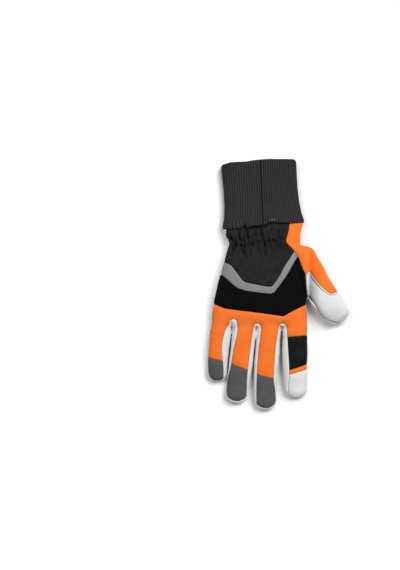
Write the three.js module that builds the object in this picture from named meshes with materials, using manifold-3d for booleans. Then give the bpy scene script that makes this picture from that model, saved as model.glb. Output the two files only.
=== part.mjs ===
// A right-hand chainsaw glove lying palm down: fingers towards -Y, thumb towards +X, cuff mouth towards +Y.
// The hand, fingers and thumb are one hollow skin of cloth and leather, cut along its seams into sewn panels.
// A ribbed knit cuff laps over the wrist end. Lengths are millimetres.
import * as THREE from 'three';
import { mergeVertices } from 'three/addons/utils/BufferGeometryUtils.js';
import Module from 'manifold-3d';

const wasm = await Module();
wasm.setup();

// Hand and fingers
const HAND_LENGTH = 120;
const HAND_THICKNESS = 27;
const PINKY_LENGTH = 71;
const PINKY_WIDTH = 24.6;
const RING_LENGTH = 92;
const RING_WIDTH = 28.4;
const MIDDLE_LENGTH = 100;
const MIDDLE_WIDTH = 28.8;
const INDEX_LENGTH = 86;
const INDEX_WIDTH = 29.6;
const FINGER_THICKNESS = 20;
const FINGER_GAP = 0.9;
const THUMB_LENGTH = 92;
const THUMB_WIDTH = 35;
const THUMB_THICKNESS = 21;
const THUMB_ANGLE = 32;
const SKIN_WALL = 1.6;

// Knit cuff
const CUFF_LENGTH = 76;
const CUFF_WIDTH = 90.5;
const CUFF_THICKNESS = 16;
const CUFF_MOUTH_BOW = 3.2;
const CUFF_TURN = 4.6;
const CUFF_OVERLAP = 4;
const KNIT_WALL = 2.8;
const RIB_COUNT = 66;
const RIB_DEPTH = 0.7;

// Palm pads and cuff label
const PAD_THICKNESS = 1.5;
const LABEL_WIDTH = 41;
const LABEL_LENGTH = 41;
const LABEL_TAPER = 6;
const LABEL_BORDER = 5;
const LABEL_THICKNESS = 1.2;
const LABEL_CORNER = 6;
const LABEL_OFFSET = -3;

// Joints between pieces
const SEAM_GAP = 0.4;
const CLEARANCE = 0.3;
const GATHER_DEPTH = 1.7;

const HAND_WIDTH = PINKY_WIDTH + RING_WIDTH + MIDDLE_WIDTH + INDEX_WIDTH + 3 * FINGER_GAP;
const PALM_FLOOR = PAD_THICKNESS + CLEARANCE;
const CUFF_FLOOR = LABEL_THICKNESS + CLEARANCE;
const WRIST_FLOOR = CUFF_FLOOR + KNIT_WALL + CLEARANCE;
const FLAT_SINK = 1.6;
const SQUARENESS = 2.5;
const HIGH = 3 * HAND_THICKNESS;
const FAR = 3 * HAND_LENGTH;

// Plan point on the hand: across in hand widths from its middle, along in hand lengths from the wrist.
const onHand = (across, along) => new THREE.Vector2(across * HAND_WIDTH, -along * HAND_LENGTH);

// Side points of the hand's sections and their thickness in the hand's own.
// Lift 1 is as high as the cuff holds the wrist.
const HAND_SECTIONS = [
  { left: -0.355, leftAlong: 0.035, right: 0.442, rightAlong: -0.025, thick: 0.5, lift: 1, gather: 0 },
  { left: -0.343, leftAlong: 0.1, right: 0.438, rightAlong: 0.055, thick: 0.6, lift: 0.85, gather: 1 },
  { left: -0.31, leftAlong: 0.17, right: 0.442, rightAlong: 0.15, thick: 0.66, lift: 0.6, gather: 0.9 },
  { left: -0.337, leftAlong: 0.26, right: 0.452, rightAlong: 0.25, thick: 0.82, lift: 0.25, gather: 0.35 },
  { left: -0.379, leftAlong: 0.39, right: 0.466, rightAlong: 0.39, thick: 0.95, lift: 0, gather: 0 },
  { left: -0.427, leftAlong: 0.55, right: 0.479, rightAlong: 0.55, thick: 1, lift: 0, gather: 0 },
  { left: -0.473, leftAlong: 0.74, right: 0.49, rightAlong: 0.74, thick: 0.98, lift: 0, gather: 0 },
  { left: -0.499, leftAlong: 0.93, right: 0.499, rightAlong: 0.93, thick: 0.86, lift: 0, gather: 0 },
  { left: -0.47, leftAlong: 0.995, right: 0.47, rightAlong: 0.995, thick: 0.68, lift: 0.6, gather: 0 },
];

// Lean is the tip's sideways shift and bow the middle's, in finger lengths.
// Root is where the finger starts along the hand.
const FINGERS = [
  { name: 'pinky', length: PINKY_LENGTH, width: PINKY_WIDTH, root: 0.96, lean: -0.069, bow: 0, thick: 0.9 },
  { name: 'ring', length: RING_LENGTH, width: RING_WIDTH, root: 1, lean: -0.1, bow: 0.012, thick: 0.97 },
  { name: 'middle', length: MIDDLE_LENGTH, width: MIDDLE_WIDTH, root: 1, lean: -0.019, bow: -0.012, thick: 1 },
  { name: 'index', length: INDEX_LENGTH, width: INDEX_WIDTH, root: 1, lean: 0.042, bow: -0.01, thick: 0.98 },
];

// Finger sections before the rounded tip, in the finger's own length, width and thickness.
// Lift 1 is the palm's height.
const FINGER_SECTIONS = [
  { along: -0.16, wide: 0.94, thick: 1.02, lift: 1 },
  { along: 0.04, wide: 0.985, thick: 1.14, lift: 1 },
  { along: 0.3, wide: 1, thick: 1.04, lift: 0.9 },
  { along: 0.6, wide: 0.96, thick: 0.97, lift: 0.4 },
];
// The start of a finger or thumb narrows to a point inside the hand over this length.
const ROOT_TAPER = 14;
const TIP_ROUND = 0.46;
const TIP_ANGLES = [0, 36, 66];
const TIP_NARROWING = 0.9;
const TIP_THICKNESS = 0.84;
const TIP_FULLNESS = { wide: 0.8, thick: 0.7 };

// Thumb sections: outer and inner side in thumb widths from the thumb's axis.
// Lift is the underside's height off the palm, in thumb thicknesses.
const THUMB_ROOT = { across: 0.431, along: 0.32 };
const THUMB_SECTIONS = [
  { along: -0.1, outer: 0.36, inner: -0.3, thick: 0.78, lift: 0.2 },
  { along: -0.02, outer: 0.51, inner: -0.46, thick: 0.94, lift: 0.12 },
  { along: 0.1, outer: 0.505, inner: -0.5, thick: 1.04, lift: 0.1 },
  { along: 0.25, outer: 0.475, inner: -0.53, thick: 1.08, lift: 0.12 },
  { along: 0.43, outer: 0.44, inner: -0.545, thick: 1.04, lift: 0.17 },
  { along: 0.62, outer: 0.455, inner: -0.545, thick: 0.98, lift: 0.2 },
  { along: 0.8, outer: 0.48, inner: -0.5, thick: 0.9, lift: 0.19 },
  { along: 0.91, outer: 0.445, inner: -0.38, thick: 0.76, lift: 0.2 },
  { along: 0.965, outer: 0.34, inner: -0.22, thick: 0.55, lift: 0.26 },
];
const THUMB_TIP_SIDE = 0.06;

// Height of the seam between the back and the palm, in hand thicknesses, at hand lengths from the wrist.
const SIDE_SEAM = [
  { along: -0.4, height: 0.42 },
  { along: 0.2, height: 0.42 },
  { along: 0.6, height: 0.47 },
  { along: 0.95, height: 0.42 },
  { along: 1.15, height: 0.36 },
  { along: 1.6, height: 0.3 },
  { along: 2.4, height: 0.26 },
];

// Seam lines of the back, from the little finger's side to the thumb's, as [across, along] on the hand.
const BAND_TOP_SEAM = [
  [-0.44, 0.33], [-0.367, 0.365], [-0.319, 0.385], [-0.287, 0.41], [-0.203, 0.515], [-0.171, 0.55],
  [-0.118, 0.57], [0.072, 0.605], [0.114, 0.605], [0.141, 0.59], [0.2, 0.51], [0.262, 0.4], [0.326, 0.31],
  [0.4, 0.2],
];
const BAND_BOTTOM_SEAM = [
  [-0.47, 0.44], [-0.399, 0.49], [-0.351, 0.525], [-0.256, 0.605], [-0.203, 0.63], [-0.097, 0.655],
  [0.093, 0.675], [0.135, 0.67], [0.167, 0.645], [0.241, 0.55], [0.304, 0.46], [0.357, 0.37], [0.43, 0.25],
];
const KNUCKLE_SEAM = [
  [-0.56, 0.76], [-0.48, 0.78], [-0.414, 0.805], [-0.33, 0.83], [0.008, 0.87], [0.23, 0.9], [0.262, 0.895],
  [0.326, 0.86], [0.41, 0.82], [0.495, 0.785], [0.57, 0.755],
];
// The thumb panel's edge runs from the cuff past the band to the thumb's white seam, then down the thumb.
const THUMB_PANEL_HAND_SEAM = [
  [0.315, -0.2], [0.313, -0.04], [0.304, 0.05], [0.278, 0.14], [0.294, 0.18], [0.336, 0.22], [0.4, 0.31],
  [0.421, 0.36], [0.452, 0.44], [0.479, 0.485], [0.526, 0.45],
];
const THUMB_PANEL_TIP_SEAM = [
  [0.31, 0.01], [0.41, 0.045], [0.52, 0.11], [0.6, 0.22], [0.615, 0.42], [0.59, 0.6],
];
const PALM_THUMB_SEAM = [
  [0.26, -0.2], [0.265, 0.1], [0.31, 0.2], [0.4, 0.3],
];
const PALM_THUMB_TIP_SEAM = [
  [0.1, 0.12], [0.35, 0.2], [0.6, 0.34], [0.72, 0.6],
];
// The thumb's leather on the palm side is set in along this seam.
const THUMB_BASE_SEAM = [
  [0.43, 0.27], [0.41, 0.36], [0.415, 0.46], [0.44, 0.56], [0.478, 0.66], [0.497, 0.74], [0.515, 0.82],
];
const KNUCKLE_SIDE_SEAM = [
  [0.472, 0.43], [0.476, 0.5], [0.479, 0.6], [0.489, 0.7], [0.503, 0.78], [0.52, 0.88],
];

// Edges of each finger's back panel towards its neighbours, as [side, along] with the side in half widths.
const PINKY_INNER_EDGE = [
  [0.7, 0.02], [0.42, 0.14], [0.25, 0.32], [0.3, 0.5], [0.5, 0.66], [0.64, 0.84], [0.7, 1.2],
];
const RING_OUTER_EDGE = [[-0.64, 0.02], [-0.64, 0.14], [-0.8, 0.32], [-0.84, 0.52], [-0.97, 0.7], [-1.25, 1.2]];
const RING_INNER_EDGE = [[0.74, 0.05], [0.69, 0.2], [0.67, 0.5], [0.72, 0.7], [0.86, 0.86], [0.95, 1.2]];
const MIDDLE_OUTER_EDGE = [[-0.72, 0.05], [-0.78, 0.34], [-0.78, 0.72], [-0.78, 1.2]];
const MIDDLE_INNER_EDGE = [[0.78, 0.05], [0.68, 0.23], [0.68, 0.6], [0.86, 0.78], [1.1, 1.2]];
const INDEX_OUTER_EDGE = [
  [-0.7, 0.05], [-0.56, 0.26], [-0.45, 0.55], [-0.45, 0.72], [-0.56, 0.88], [-0.6, 1.2],
];
const CROTCHES = [
  { name: 'fourchette_pinky_ring', low: 0, top: 0.93, edges: [PINKY_INNER_EDGE, RING_OUTER_EDGE] },
  { name: 'fourchette_ring_middle', low: 1, top: 0.975, edges: [RING_INNER_EDGE, MIDDLE_OUTER_EDGE] },
  { name: 'fourchette_middle_index', low: 2, top: 0.975, edges: [MIDDLE_INNER_EDGE, INDEX_OUTER_EDGE] },
];

// The round end of a crotch: across from one finger's edge to the next, drop below its top in hand lengths.
const CROTCH_ARC = [{ across: 0.15, drop: 0.012 }, { across: 0.5, drop: 0 }, { across: 0.85, drop: 0.012 }];

// Cross seams of the fingers: along at the little finger's side and at the thumb's side.
const PINKY_TIP_SEAM = [0.6, 0.655];
const RING_TIP_SEAM = [0.49, 0.57];
const MIDDLE_TIP_SEAM = [0.584, 0.622];
const INDEX_PATCH_START = [0.16, 0.125];
const INDEX_PATCH_END = [0.64, 0.53];
const INDEX_STRIP_END = [0.7, 0.6];

// Palm pads as [across, along] on the hand. A corner is cut off by this share of each edge.
const PAD_CORNER = 0.25;
const KNUCKLE_PAD = [
  [0.36, 0.86], [0.35, 0.8], [0.33, 0.79], [-0.34, 0.6], [-0.37, 0.61], [-0.4, 0.74], [-0.385, 0.82],
  [-0.33, 0.88], [-0.12, 0.955], [0.06, 0.96], [0.16, 0.95], [0.22, 0.91], [0.345, 0.875],
];
const THUMB_PAD = [
  [0.34, 0.7], [0.33, 0.52], [0.3, 0.31], [0.265, 0.19], [0.235, 0.175], [0.19, 0.2], [-0.03, 0.42],
  [-0.035, 0.46], [0.06, 0.64], [0.12, 0.68], [0.3, 0.73],
];
const HEEL_PAD = [
  [-0.06, 0.62], [-0.07, 0.59], [-0.14, 0.47], [-0.14, 0.43], [0.09, 0.185], [0.09, 0.16], [-0.25, 0.145],
  [-0.285, 0.17], [-0.33, 0.4], [-0.345, 0.5], [-0.31, 0.53],
];

const MATERIALS = {
  orange: new THREE.MeshStandardMaterial({ color: '#f8762c', roughness: 0.85, metalness: 0 }),
  white: new THREE.MeshStandardMaterial({ color: '#e4e3e1', roughness: 0.7, metalness: 0 }),
  black: new THREE.MeshStandardMaterial({ color: '#101010', roughness: 0.85, metalness: 0 }),
  charcoal: new THREE.MeshStandardMaterial({ color: '#2b2b2b', roughness: 0.95, metalness: 0 }),
  grey: new THREE.MeshStandardMaterial({ color: '#58585a', roughness: 0.8, metalness: 0 }),
  silver: new THREE.MeshStandardMaterial({ color: '#979797', roughness: 0.5, metalness: 0.2 }),
  knit: new THREE.MeshStandardMaterial({ color: '#353535', roughness: 1, metalness: 0 }),
  rubber: new THREE.MeshStandardMaterial({ color: '#1e1e1e', roughness: 0.5, metalness: 0 }),
};

const solidOf = (geometry) => {
  const bare = geometry.index ? geometry.toNonIndexed() : geometry.clone();
  bare.deleteAttribute('normal');
  bare.deleteAttribute('uv');
  const merged = mergeVertices(bare, 1e-4);
  const vertProperties = new Float32Array(merged.attributes.position.array);
  const triVerts = new Uint32Array(merged.index.array);
  return new wasm.Manifold(new wasm.Mesh({ numProp: 3, vertProperties, triVerts }));
};

// Cuts leave some edges that are next to nothing: each is closed up to one point.
const SHORT_EDGE = 0.02;
function withoutShortEdges({ vertProperties, triVerts }) {
  const point = (i) => new THREE.Vector3().fromArray(vertProperties, 3 * i);
  const target = Array.from({ length: vertProperties.length / 3 }, (_, i) => i);
  const find = (i) => (target[i] === i ? i : find(target[i]));
  const corners = Array.from(triVerts);
  corners.forEach((from, i) => {
    const to = corners[i - (i % 3) + ((i + 1) % 3)];
    if (point(from).distanceTo(point(to)) < SHORT_EDGE) target[find(from)] = find(to);
  });
  const index = [];
  for (let i = 0; i < corners.length; i += 3) {
    const [a, b, c] = corners.slice(i, i + 3).map(find);
    if (a !== b && b !== c && c !== a) index.push(a, b, c);
  }
  return index;
}

const geometryOf = (solid) => {
  const mesh = solid.getMesh();
  const geometry = new THREE.BufferGeometry();
  geometry.setAttribute('position', new THREE.BufferAttribute(mesh.vertProperties, 3));
  geometry.setIndex(withoutShortEdges(mesh));
  const flat = geometry.toNonIndexed();
  flat.computeVertexNormals();
  return flat;
};

// A superellipse section standing on the line between two plan points, pressed flat where it meets its floor.
// Gathers raise and sink its upper points by turns, most on top.
function section({ left, right, floor, thickness, sides, inset = 0, gather = 0 }) {
  const base = floor - FLAT_SINK;
  const centre = left.clone().lerp(right, 0.5);
  const direction = right.clone().sub(left).normalize();
  const halfWidth = left.distanceTo(right) / 2 - inset;
  const halfHeight = thickness / 2 - inset;
  const ring = [];
  for (let i = 0; i < sides; i++) {
    const angle = ((i + 0.5) / sides) * 2 * Math.PI;
    const cos = Math.sign(Math.cos(angle)) * Math.abs(Math.cos(angle)) ** (2 / SQUARENESS);
    const sin = Math.sign(Math.sin(angle)) * Math.abs(Math.sin(angle)) ** (2 / SQUARENESS);
    const fold = sin > 0 ? gather * sin ** 3 * (i % 2 ? 1 : -1) : 0;
    const height = base + thickness / 2 + halfHeight * sin + fold;
    const plan = centre.clone().addScaledVector(direction, halfWidth * cos);
    ring.push(new THREE.Vector3(plan.x, plan.y, Math.max(height, floor + inset)));
  }
  return ring;
}

// Joins rings of equal count from the first to the last, closing each end with a fan to a point.
function loft(rings, startPoint, endPoint) {
  const count = rings[0].length;
  const points = rings.flat().concat(startPoint, endPoint);
  const start = points.length - 2;
  const end = points.length - 1;
  const index = [];
  for (let r = 0; r < rings.length - 1; r++) {
    for (let i = 0; i < count; i++) {
      const next = (i + 1) % count;
      const a = r * count + i;
      const b = r * count + next;
      index.push(a, b, b + count, a, b + count, a + count);
    }
  }
  const last = (rings.length - 1) * count;
  for (let i = 0; i < count; i++) {
    const next = (i + 1) % count;
    index.push(start, next, i);
    index.push(end, last + i, last + next);
  }
  const geometry = new THREE.BufferGeometry().setFromPoints(points);
  geometry.setIndex(index);
  const solid = solidOf(geometry);
  if (solid.volume() > 0) return solid;
  geometry.setIndex(index.reverse());
  return solidOf(geometry);
}

const centreOf = (ring) => ring.reduce((sum, p) => sum.add(p), new THREE.Vector3()).divideScalar(ring.length);
const atHeightOf = (ring, plan) => new THREE.Vector3(plan.x, plan.y, centreOf(ring).z);

// Hand: the wrist end runs on under the cuff, and the hollow runs on past it.
const HAND_SIDES = 32;
const cuffAxis = new THREE.Vector2(0, 1).rotateAround(new THREE.Vector2(), THREE.MathUtils.degToRad(CUFF_TURN));

function handSection(row, inset) {
  return section({
    left: onHand(row.left, row.leftAlong),
    right: onHand(row.right, row.rightAlong),
    floor: THREE.MathUtils.lerp(PALM_FLOOR, WRIST_FLOOR, row.lift),
    thickness: row.thick * HAND_THICKNESS,
    sides: HAND_SIDES,
    inset,
    gather: row.gather * GATHER_DEPTH,
  });
}

const moved = (ring, direction, distance) => ring.map((point) => new THREE.Vector3(
  point.x + direction.x * distance,
  point.y + direction.y * distance,
  point.z,
));

function handForm(inset) {
  const rings = HAND_SECTIONS.map((row) => handSection(row, inset));
  rings.unshift(moved(rings[0], cuffAxis, CUFF_OVERLAP + Math.max(inset, 0)));
  rings.push(moved(rings.pop(), new THREE.Vector2(0, 1), inset));
  return loft(rings, centreOf(rings[0]), centreOf(rings.at(-1)));
}

// Fingers: each follows a curve in plan from its root on the hand to its tip.
const FINGER_SIDES = 14;
let rootSide = -HAND_WIDTH / 2;
for (const finger of FINGERS) {
  const root = new THREE.Vector2(rootSide + finger.width / 2, -finger.root * HAND_LENGTH);
  const tip = new THREE.Vector2(root.x + finger.lean * finger.length, root.y - finger.length);
  const middle = root.clone().lerp(tip, 0.5);
  middle.x += 2 * finger.bow * finger.length;
  finger.curve = new THREE.QuadraticBezierCurve(root, middle, tip);
  rootSide += finger.width + FINGER_GAP;
}

// Plan point on a finger: side in half widths, along in finger lengths.
function onFinger(finger, side, along) {
  const inside = Math.min(Math.max(along, 0), 1);
  const tangent = finger.curve.getTangent(inside);
  const point = finger.curve.getPoint(inside).addScaledVector(tangent, (along - inside) * finger.length);
  const across = new THREE.Vector2(-tangent.y, tangent.x);
  return point.addScaledVector(across, (side * finger.width) / 2);
}

function fingerForm(finger, inset) {
  const thickness = finger.thick * FINGER_THICKNESS;
  const tipStart = 1 - (TIP_ROUND * finger.width) / finger.length;
  const insetAlong = inset / finger.length;
  const rows = FINGER_SECTIONS.map((row) => ({ ...row, floor: row.lift * PALM_FLOOR }));
  rows[0].along += insetAlong;
  for (const angle of TIP_ANGLES) {
    const turn = THREE.MathUtils.degToRad(angle);
    const thick = TIP_THICKNESS * Math.cos(turn) ** TIP_FULLNESS.thick;
    rows.push({
      along: tipStart + (1 - tipStart - insetAlong) * Math.sin(turn),
      wide: TIP_NARROWING * Math.cos(turn) ** TIP_FULLNESS.wide,
      thick,
      floor: ((TIP_THICKNESS - thick) * thickness) / 2,
    });
  }
  const rings = rows.map((row) => section({
    left: onFinger(finger, -row.wide, row.along),
    right: onFinger(finger, row.wide, row.along),
    floor: row.floor,
    thickness: row.thick * thickness,
    sides: FINGER_SIDES,
    inset,
  }));
  const start = onFinger(finger, 0, rows[0].along - ROOT_TAPER / finger.length);
  const tip = onFinger(finger, 0, 1 - insetAlong);
  return loft(rings, atHeightOf(rings[0], start), atHeightOf(rings.at(-1), tip));
}

// Thumb: a straight tube leaving the hand's side at its own angle.
const THUMB_SIDES = 16;
const thumbAxis = new THREE.Vector2(
  Math.sin(THREE.MathUtils.degToRad(THUMB_ANGLE)),
  -Math.cos(THREE.MathUtils.degToRad(THUMB_ANGLE)),
);
function onThumb(along, side) {
  const across = new THREE.Vector2(-thumbAxis.y, thumbAxis.x);
  return onHand(THUMB_ROOT.across, THUMB_ROOT.along)
    .addScaledVector(thumbAxis, along * THUMB_LENGTH)
    .addScaledVector(across, side * THUMB_WIDTH);
}

function thumbForm(inset) {
  const insetAlong = inset / THUMB_LENGTH;
  const rings = THUMB_SECTIONS.map((row, i) => {
    const along = row.along + (i === 0 ? insetAlong : -insetAlong * Math.max(row.along, 0));
    return section({
      left: onThumb(along, row.inner),
      right: onThumb(along, row.outer),
      floor: PALM_FLOOR + row.lift * THUMB_THICKNESS,
      thickness: row.thick * THUMB_THICKNESS,
      sides: THUMB_SIDES,
      inset,
    });
  });
  const start = onThumb(THUMB_SECTIONS[0].along + insetAlong - ROOT_TAPER / THUMB_LENGTH, 0);
  const tip = onThumb(1 - insetAlong, THUMB_TIP_SIDE);
  return loft(rings, atHeightOf(rings[0], start), atHeightOf(rings.at(-1), tip));
}

function gloveForm(inset) {
  const fingers = FINGERS.map((finger) => fingerForm(finger, inset));
  return [handForm(inset), thumbForm(inset), ...fingers].reduce((all, form) => all.add(form));
}

// Prism over a plan outline.
function prism(outline, bottom, top) {
  const shape = new THREE.Shape(outline);
  const geometry = new THREE.ExtrudeGeometry(shape, { depth: top - bottom, bevelEnabled: false });
  geometry.translate(0, 0, bottom);
  return solidOf(geometry);
}

// The same line moved sideways, to the left of its direction when the distance is positive.
function shifted(line, distance) {
  return line.map((point, i) => {
    const before = line[Math.max(i - 1, 0)];
    const after = line[Math.min(i + 1, line.length - 1)];
    const into = point.clone().sub(before).normalize();
    const out = after.clone().sub(point).normalize();
    const tangent = into.add(out).normalize();
    return point.clone().add(new THREE.Vector2(-tangent.y, tangent.x).multiplyScalar(distance));
  });
}

// The narrow slot that a seam leaves between two panels.
function seamSlot(line) {
  return prism([...shifted(line, SEAM_GAP / 2), ...shifted(line, -SEAM_GAP / 2).reverse()], 0, HIGH);
}

// Everything below the side seam, raised by a step.
function belowSideSeam(step) {
  const profile = SIDE_SEAM.map((row) => new THREE.Vector2(
    -row.along * HAND_LENGTH,
    row.height * HAND_THICKNESS + step,
  ));
  profile.push(new THREE.Vector2(profile.at(-1).x, -HIGH), new THREE.Vector2(profile[0].x, -HIGH));
  const geometry = new THREE.ExtrudeGeometry(new THREE.Shape(profile), { depth: 2 * FAR, bevelEnabled: false });
  geometry.translate(0, 0, -FAR);
  geometry.rotateY(Math.PI / 2);
  geometry.rotateX(Math.PI / 2);
  return solidOf(geometry);
}

const handLine = (rows) => rows.map(([across, along]) => onHand(across, along));
const thumbLine = (rows) => rows.map(([along, side]) => onThumb(along, side));
const fingerLine = (finger, rows) => rows.map(([side, along]) => onFinger(finger, side, along));

// Thumb panel: orange cloth over the back of the thumb that wraps round its outer edge to the palm side.
// The corners close its zone well outside the glove.
function thumbPanelZone(growth) {
  const corners = [onThumb(1.2, 2), onThumb(0.5, 3), onHand(1.2, -0.2)];
  const backLine = [...handLine(THUMB_PANEL_HAND_SEAM), ...thumbLine(THUMB_PANEL_TIP_SEAM)];
  const palmLine = [...handLine(PALM_THUMB_SEAM), ...thumbLine(PALM_THUMB_TIP_SEAM)];
  const beside = (line) => prism([...shifted(line, -growth), ...corners], -HIGH, HIGH);
  const upper = beside(backLine).subtract(belowSideSeam(-growth));
  const lower = beside(palmLine).intersect(belowSideSeam(growth));
  return upper.add(lower);
}

// Crotch line: down from one fingertip, round the crotch and out to the next fingertip.
function crotchLine(crotch) {
  const low = FINGERS[crotch.low];
  const high = FINGERS[crotch.low + 1];
  const lowLine = fingerLine(low, crotch.edges[0]).reverse();
  const highLine = fingerLine(high, crotch.edges[1]);
  const lowRoot = lowLine.at(-1);
  const highRoot = highLine[0];
  const round = CROTCH_ARC.map((row) => new THREE.Vector2(
    THREE.MathUtils.lerp(lowRoot.x, highRoot.x, row.across),
    -(crotch.top + row.drop) * HAND_LENGTH,
  ));
  return [...lowLine, ...round, ...highLine];
}

const REACH = 1.3;
function crossSeam(finger, [outerAlong, innerAlong]) {
  return [[-REACH, outerAlong], [0, (outerAlong + innerAlong) / 2], [REACH, innerAlong]]
    .map(([side, along]) => onFinger(finger, side, along));
}

const [pinky, ring, middle, index] = FINGERS;
const outer = gloveForm(0);
const hollow = gloveForm(SKIN_WALL);
const skin = outer.subtract(hollow);
const thumbPanel = skin.intersect(thumbPanelZone(0));
const sewnSkin = skin.subtract(thumbPanelZone(SEAM_GAP));
const palmPanels = sewnSkin.intersect(belowSideSeam(0)).subtract(seamSlot(handLine(THUMB_BASE_SEAM))).decompose();
const back = sewnSkin.subtract(belowSideSeam(SEAM_GAP));

const crotchZones = CROTCHES.map((crotch) => {
  const line = crotchLine(crotch);
  return { name: crotch.name, inside: shifted(line, -SEAM_GAP / 2), outside: shifted(line, SEAM_GAP / 2) };
});
const fourchettes = crotchZones.map((zone) => ({
  name: zone.name,
  solid: back.intersect(prism(zone.inside, 0, HIGH)),
}));
const panelSkin = crotchZones.reduce((rest, zone) => rest.subtract(prism(zone.outside, 0, HIGH)), back);

const seams = [
  handLine(BAND_TOP_SEAM),
  handLine(BAND_BOTTOM_SEAM),
  handLine(KNUCKLE_SEAM),
  handLine(KNUCKLE_SIDE_SEAM),
  crossSeam(pinky, PINKY_TIP_SEAM),
  crossSeam(ring, RING_TIP_SEAM),
  crossSeam(middle, MIDDLE_TIP_SEAM),
  crossSeam(index, INDEX_PATCH_START),
  crossSeam(index, INDEX_PATCH_END),
  crossSeam(index, INDEX_STRIP_END),
];
const backPanels = seams.reduce((rest, line) => rest.subtract(seamSlot(line)), panelSkin).decompose();

// The panel that lies over a plan point.
const PROBE = 1.5;
function panelAt(point, panels = backPanels) {
  const corners = [[-PROBE, -PROBE], [PROBE, -PROBE], [PROBE, PROBE], [-PROBE, PROBE]];
  const probe = prism(corners.map(([x, y]) => new THREE.Vector2(point.x + x, point.y + y)), 0, HIGH);
  const shares = panels.map((panel) => panel.intersect(probe).volume());
  return panels[shares.indexOf(Math.max(...shares))];
}

const glove = new THREE.Group();
function place(name, solid, material) {
  const mesh = new THREE.Mesh(geometryOf(solid), material);
  mesh.name = name;
  glove.add(mesh);
}

place('wrist_panel', panelAt(onHand(0, 0.35)), MATERIALS.charcoal);
place('reflective_band', panelAt(onHand(0, 0.63)), MATERIALS.silver);
place('knuckle_panel', panelAt(onHand(0, 0.76)), MATERIALS.black);
place('finger_back_panel', panelAt(onHand(0, 0.92)), MATERIALS.orange);
place('pinky_tip', panelAt(onFinger(pinky, 0, 0.8)), MATERIALS.grey);
place('ring_tip', panelAt(onFinger(ring, 0, 0.75)), MATERIALS.grey);
place('middle_tip', panelAt(onFinger(middle, 0, 0.75)), MATERIALS.grey);
place('index_patch', panelAt(onFinger(index, 0.2, 0.35)), MATERIALS.rubber);
const stripMiddle = (INDEX_PATCH_END[0] + INDEX_STRIP_END[1]) / 2;
place('index_strip', panelAt(onFinger(index, 0.2, stripMiddle)), MATERIALS.orange);
place('index_tip', panelAt(onFinger(index, 0.2, 0.85)), MATERIALS.white);
place('thumb_leather', panelAt(onThumb(0.75, -0.1)), MATERIALS.white);
place('thumb_panel', thumbPanel, MATERIALS.orange);
for (const { name, solid } of fourchettes) place(name, solid, MATERIALS.white);
place('palm', panelAt(onHand(0, 0.5), palmPanels), MATERIALS.white);
place('thumb_palm_leather', panelAt(onThumb(0.7, -0.1), palmPanels), MATERIALS.white);

// Knit cuff: a ribbed tube whose hem laps over the wrist end, narrowing to its own width towards the mouth.
const CUFF_SECTIONS = [
  { along: 0, wide: 1, hem: 1, inside: true },
  { along: (CUFF_OVERLAP + CLEARANCE) / CUFF_LENGTH, wide: 1, hem: 1, inside: true },
  { along: 0.17, wide: 0.99, hem: 0.45, inside: false },
  { along: 0.36, wide: 0.98, hem: 0.1, inside: true },
  { along: 0.65, wide: 0.98, hem: 0, inside: false },
  { along: 1, wide: 1, hem: 0, inside: true },
];
const wristRow = HAND_SECTIONS[0];
const wristLeft = onHand(wristRow.left, wristRow.leftAlong);
const wristRight = onHand(wristRow.right, wristRow.rightAlong);
const cuffStart = wristLeft.clone().lerp(wristRight, 0.5);
const cuffAcross = new THREE.Vector2(cuffAxis.y, -cuffAxis.x);
const onCuff = (side, distance) => cuffStart.clone()
  .addScaledVector(cuffAcross, side)
  .addScaledVector(cuffAxis, distance);

function cuffSection(row, inset) {
  const distance = row.along * CUFF_LENGTH;
  const hem = moved(handSection(wristRow, inset - CLEARANCE - KNIT_WALL), cuffAxis, distance);
  const tube = section({
    left: onCuff((-row.wide * CUFF_WIDTH) / 2, distance),
    right: onCuff((row.wide * CUFF_WIDTH) / 2, distance),
    floor: CUFF_FLOOR,
    thickness: CUFF_THICKNESS,
    sides: HAND_SIDES,
    inset,
  });
  return tube.map((point, i) => {
    const side = new THREE.Vector2(point.x, point.y).sub(cuffStart).dot(cuffAcross) / (CUFF_WIDTH / 2);
    const bow = row.along * row.along * CUFF_MOUTH_BOW * (1 - side * side);
    return point.lerp(hem[i], row.hem).add(new THREE.Vector3(cuffAxis.x, cuffAxis.y, 0).multiplyScalar(bow));
  });
}

// A section resampled evenly to two points a rib, the crests on the section and the valleys set in by a depth.
function ribbed(ring, depth) {
  const count = 2 * RIB_COUNT;
  const points = new THREE.CatmullRomCurve3(ring, true).getSpacedPoints(count).slice(0, count);
  const axis = new THREE.Vector3(cuffAxis.x, cuffAxis.y, 0);
  return points.map((point, i) => {
    const tangent = points[(i + 1) % count].clone().sub(points[(i + count - 1) % count]);
    const inward = tangent.cross(axis).normalize();
    return point.clone().addScaledVector(inward, (i % 2) * depth);
  });
}

// Joins rings of equal count into one closed wall, the last ring back to the first.
function wall(rings) {
  const count = rings[0].length;
  const index = [];
  rings.forEach((ring, r) => {
    const here = r * count;
    const there = ((r + 1) % rings.length) * count;
    for (let i = 0; i < count; i++) {
      const next = (i + 1) % count;
      index.push(here + i, here + next, there + next, here + i, there + next, there + i);
    }
  });
  const geometry = new THREE.BufferGeometry().setFromPoints(rings.flat());
  geometry.setIndex(index);
  return solidOf(geometry);
}

const outside = CUFF_SECTIONS.map((row) => ribbed(cuffSection(row, 0), RIB_DEPTH));
const inside = CUFF_SECTIONS.filter((row) => row.inside).map((row) => ribbed(cuffSection(row, KNIT_WALL), 0));
place('knit_cuff', wall([...inside, ...outside.reverse()]), MATERIALS.knit);

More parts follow.
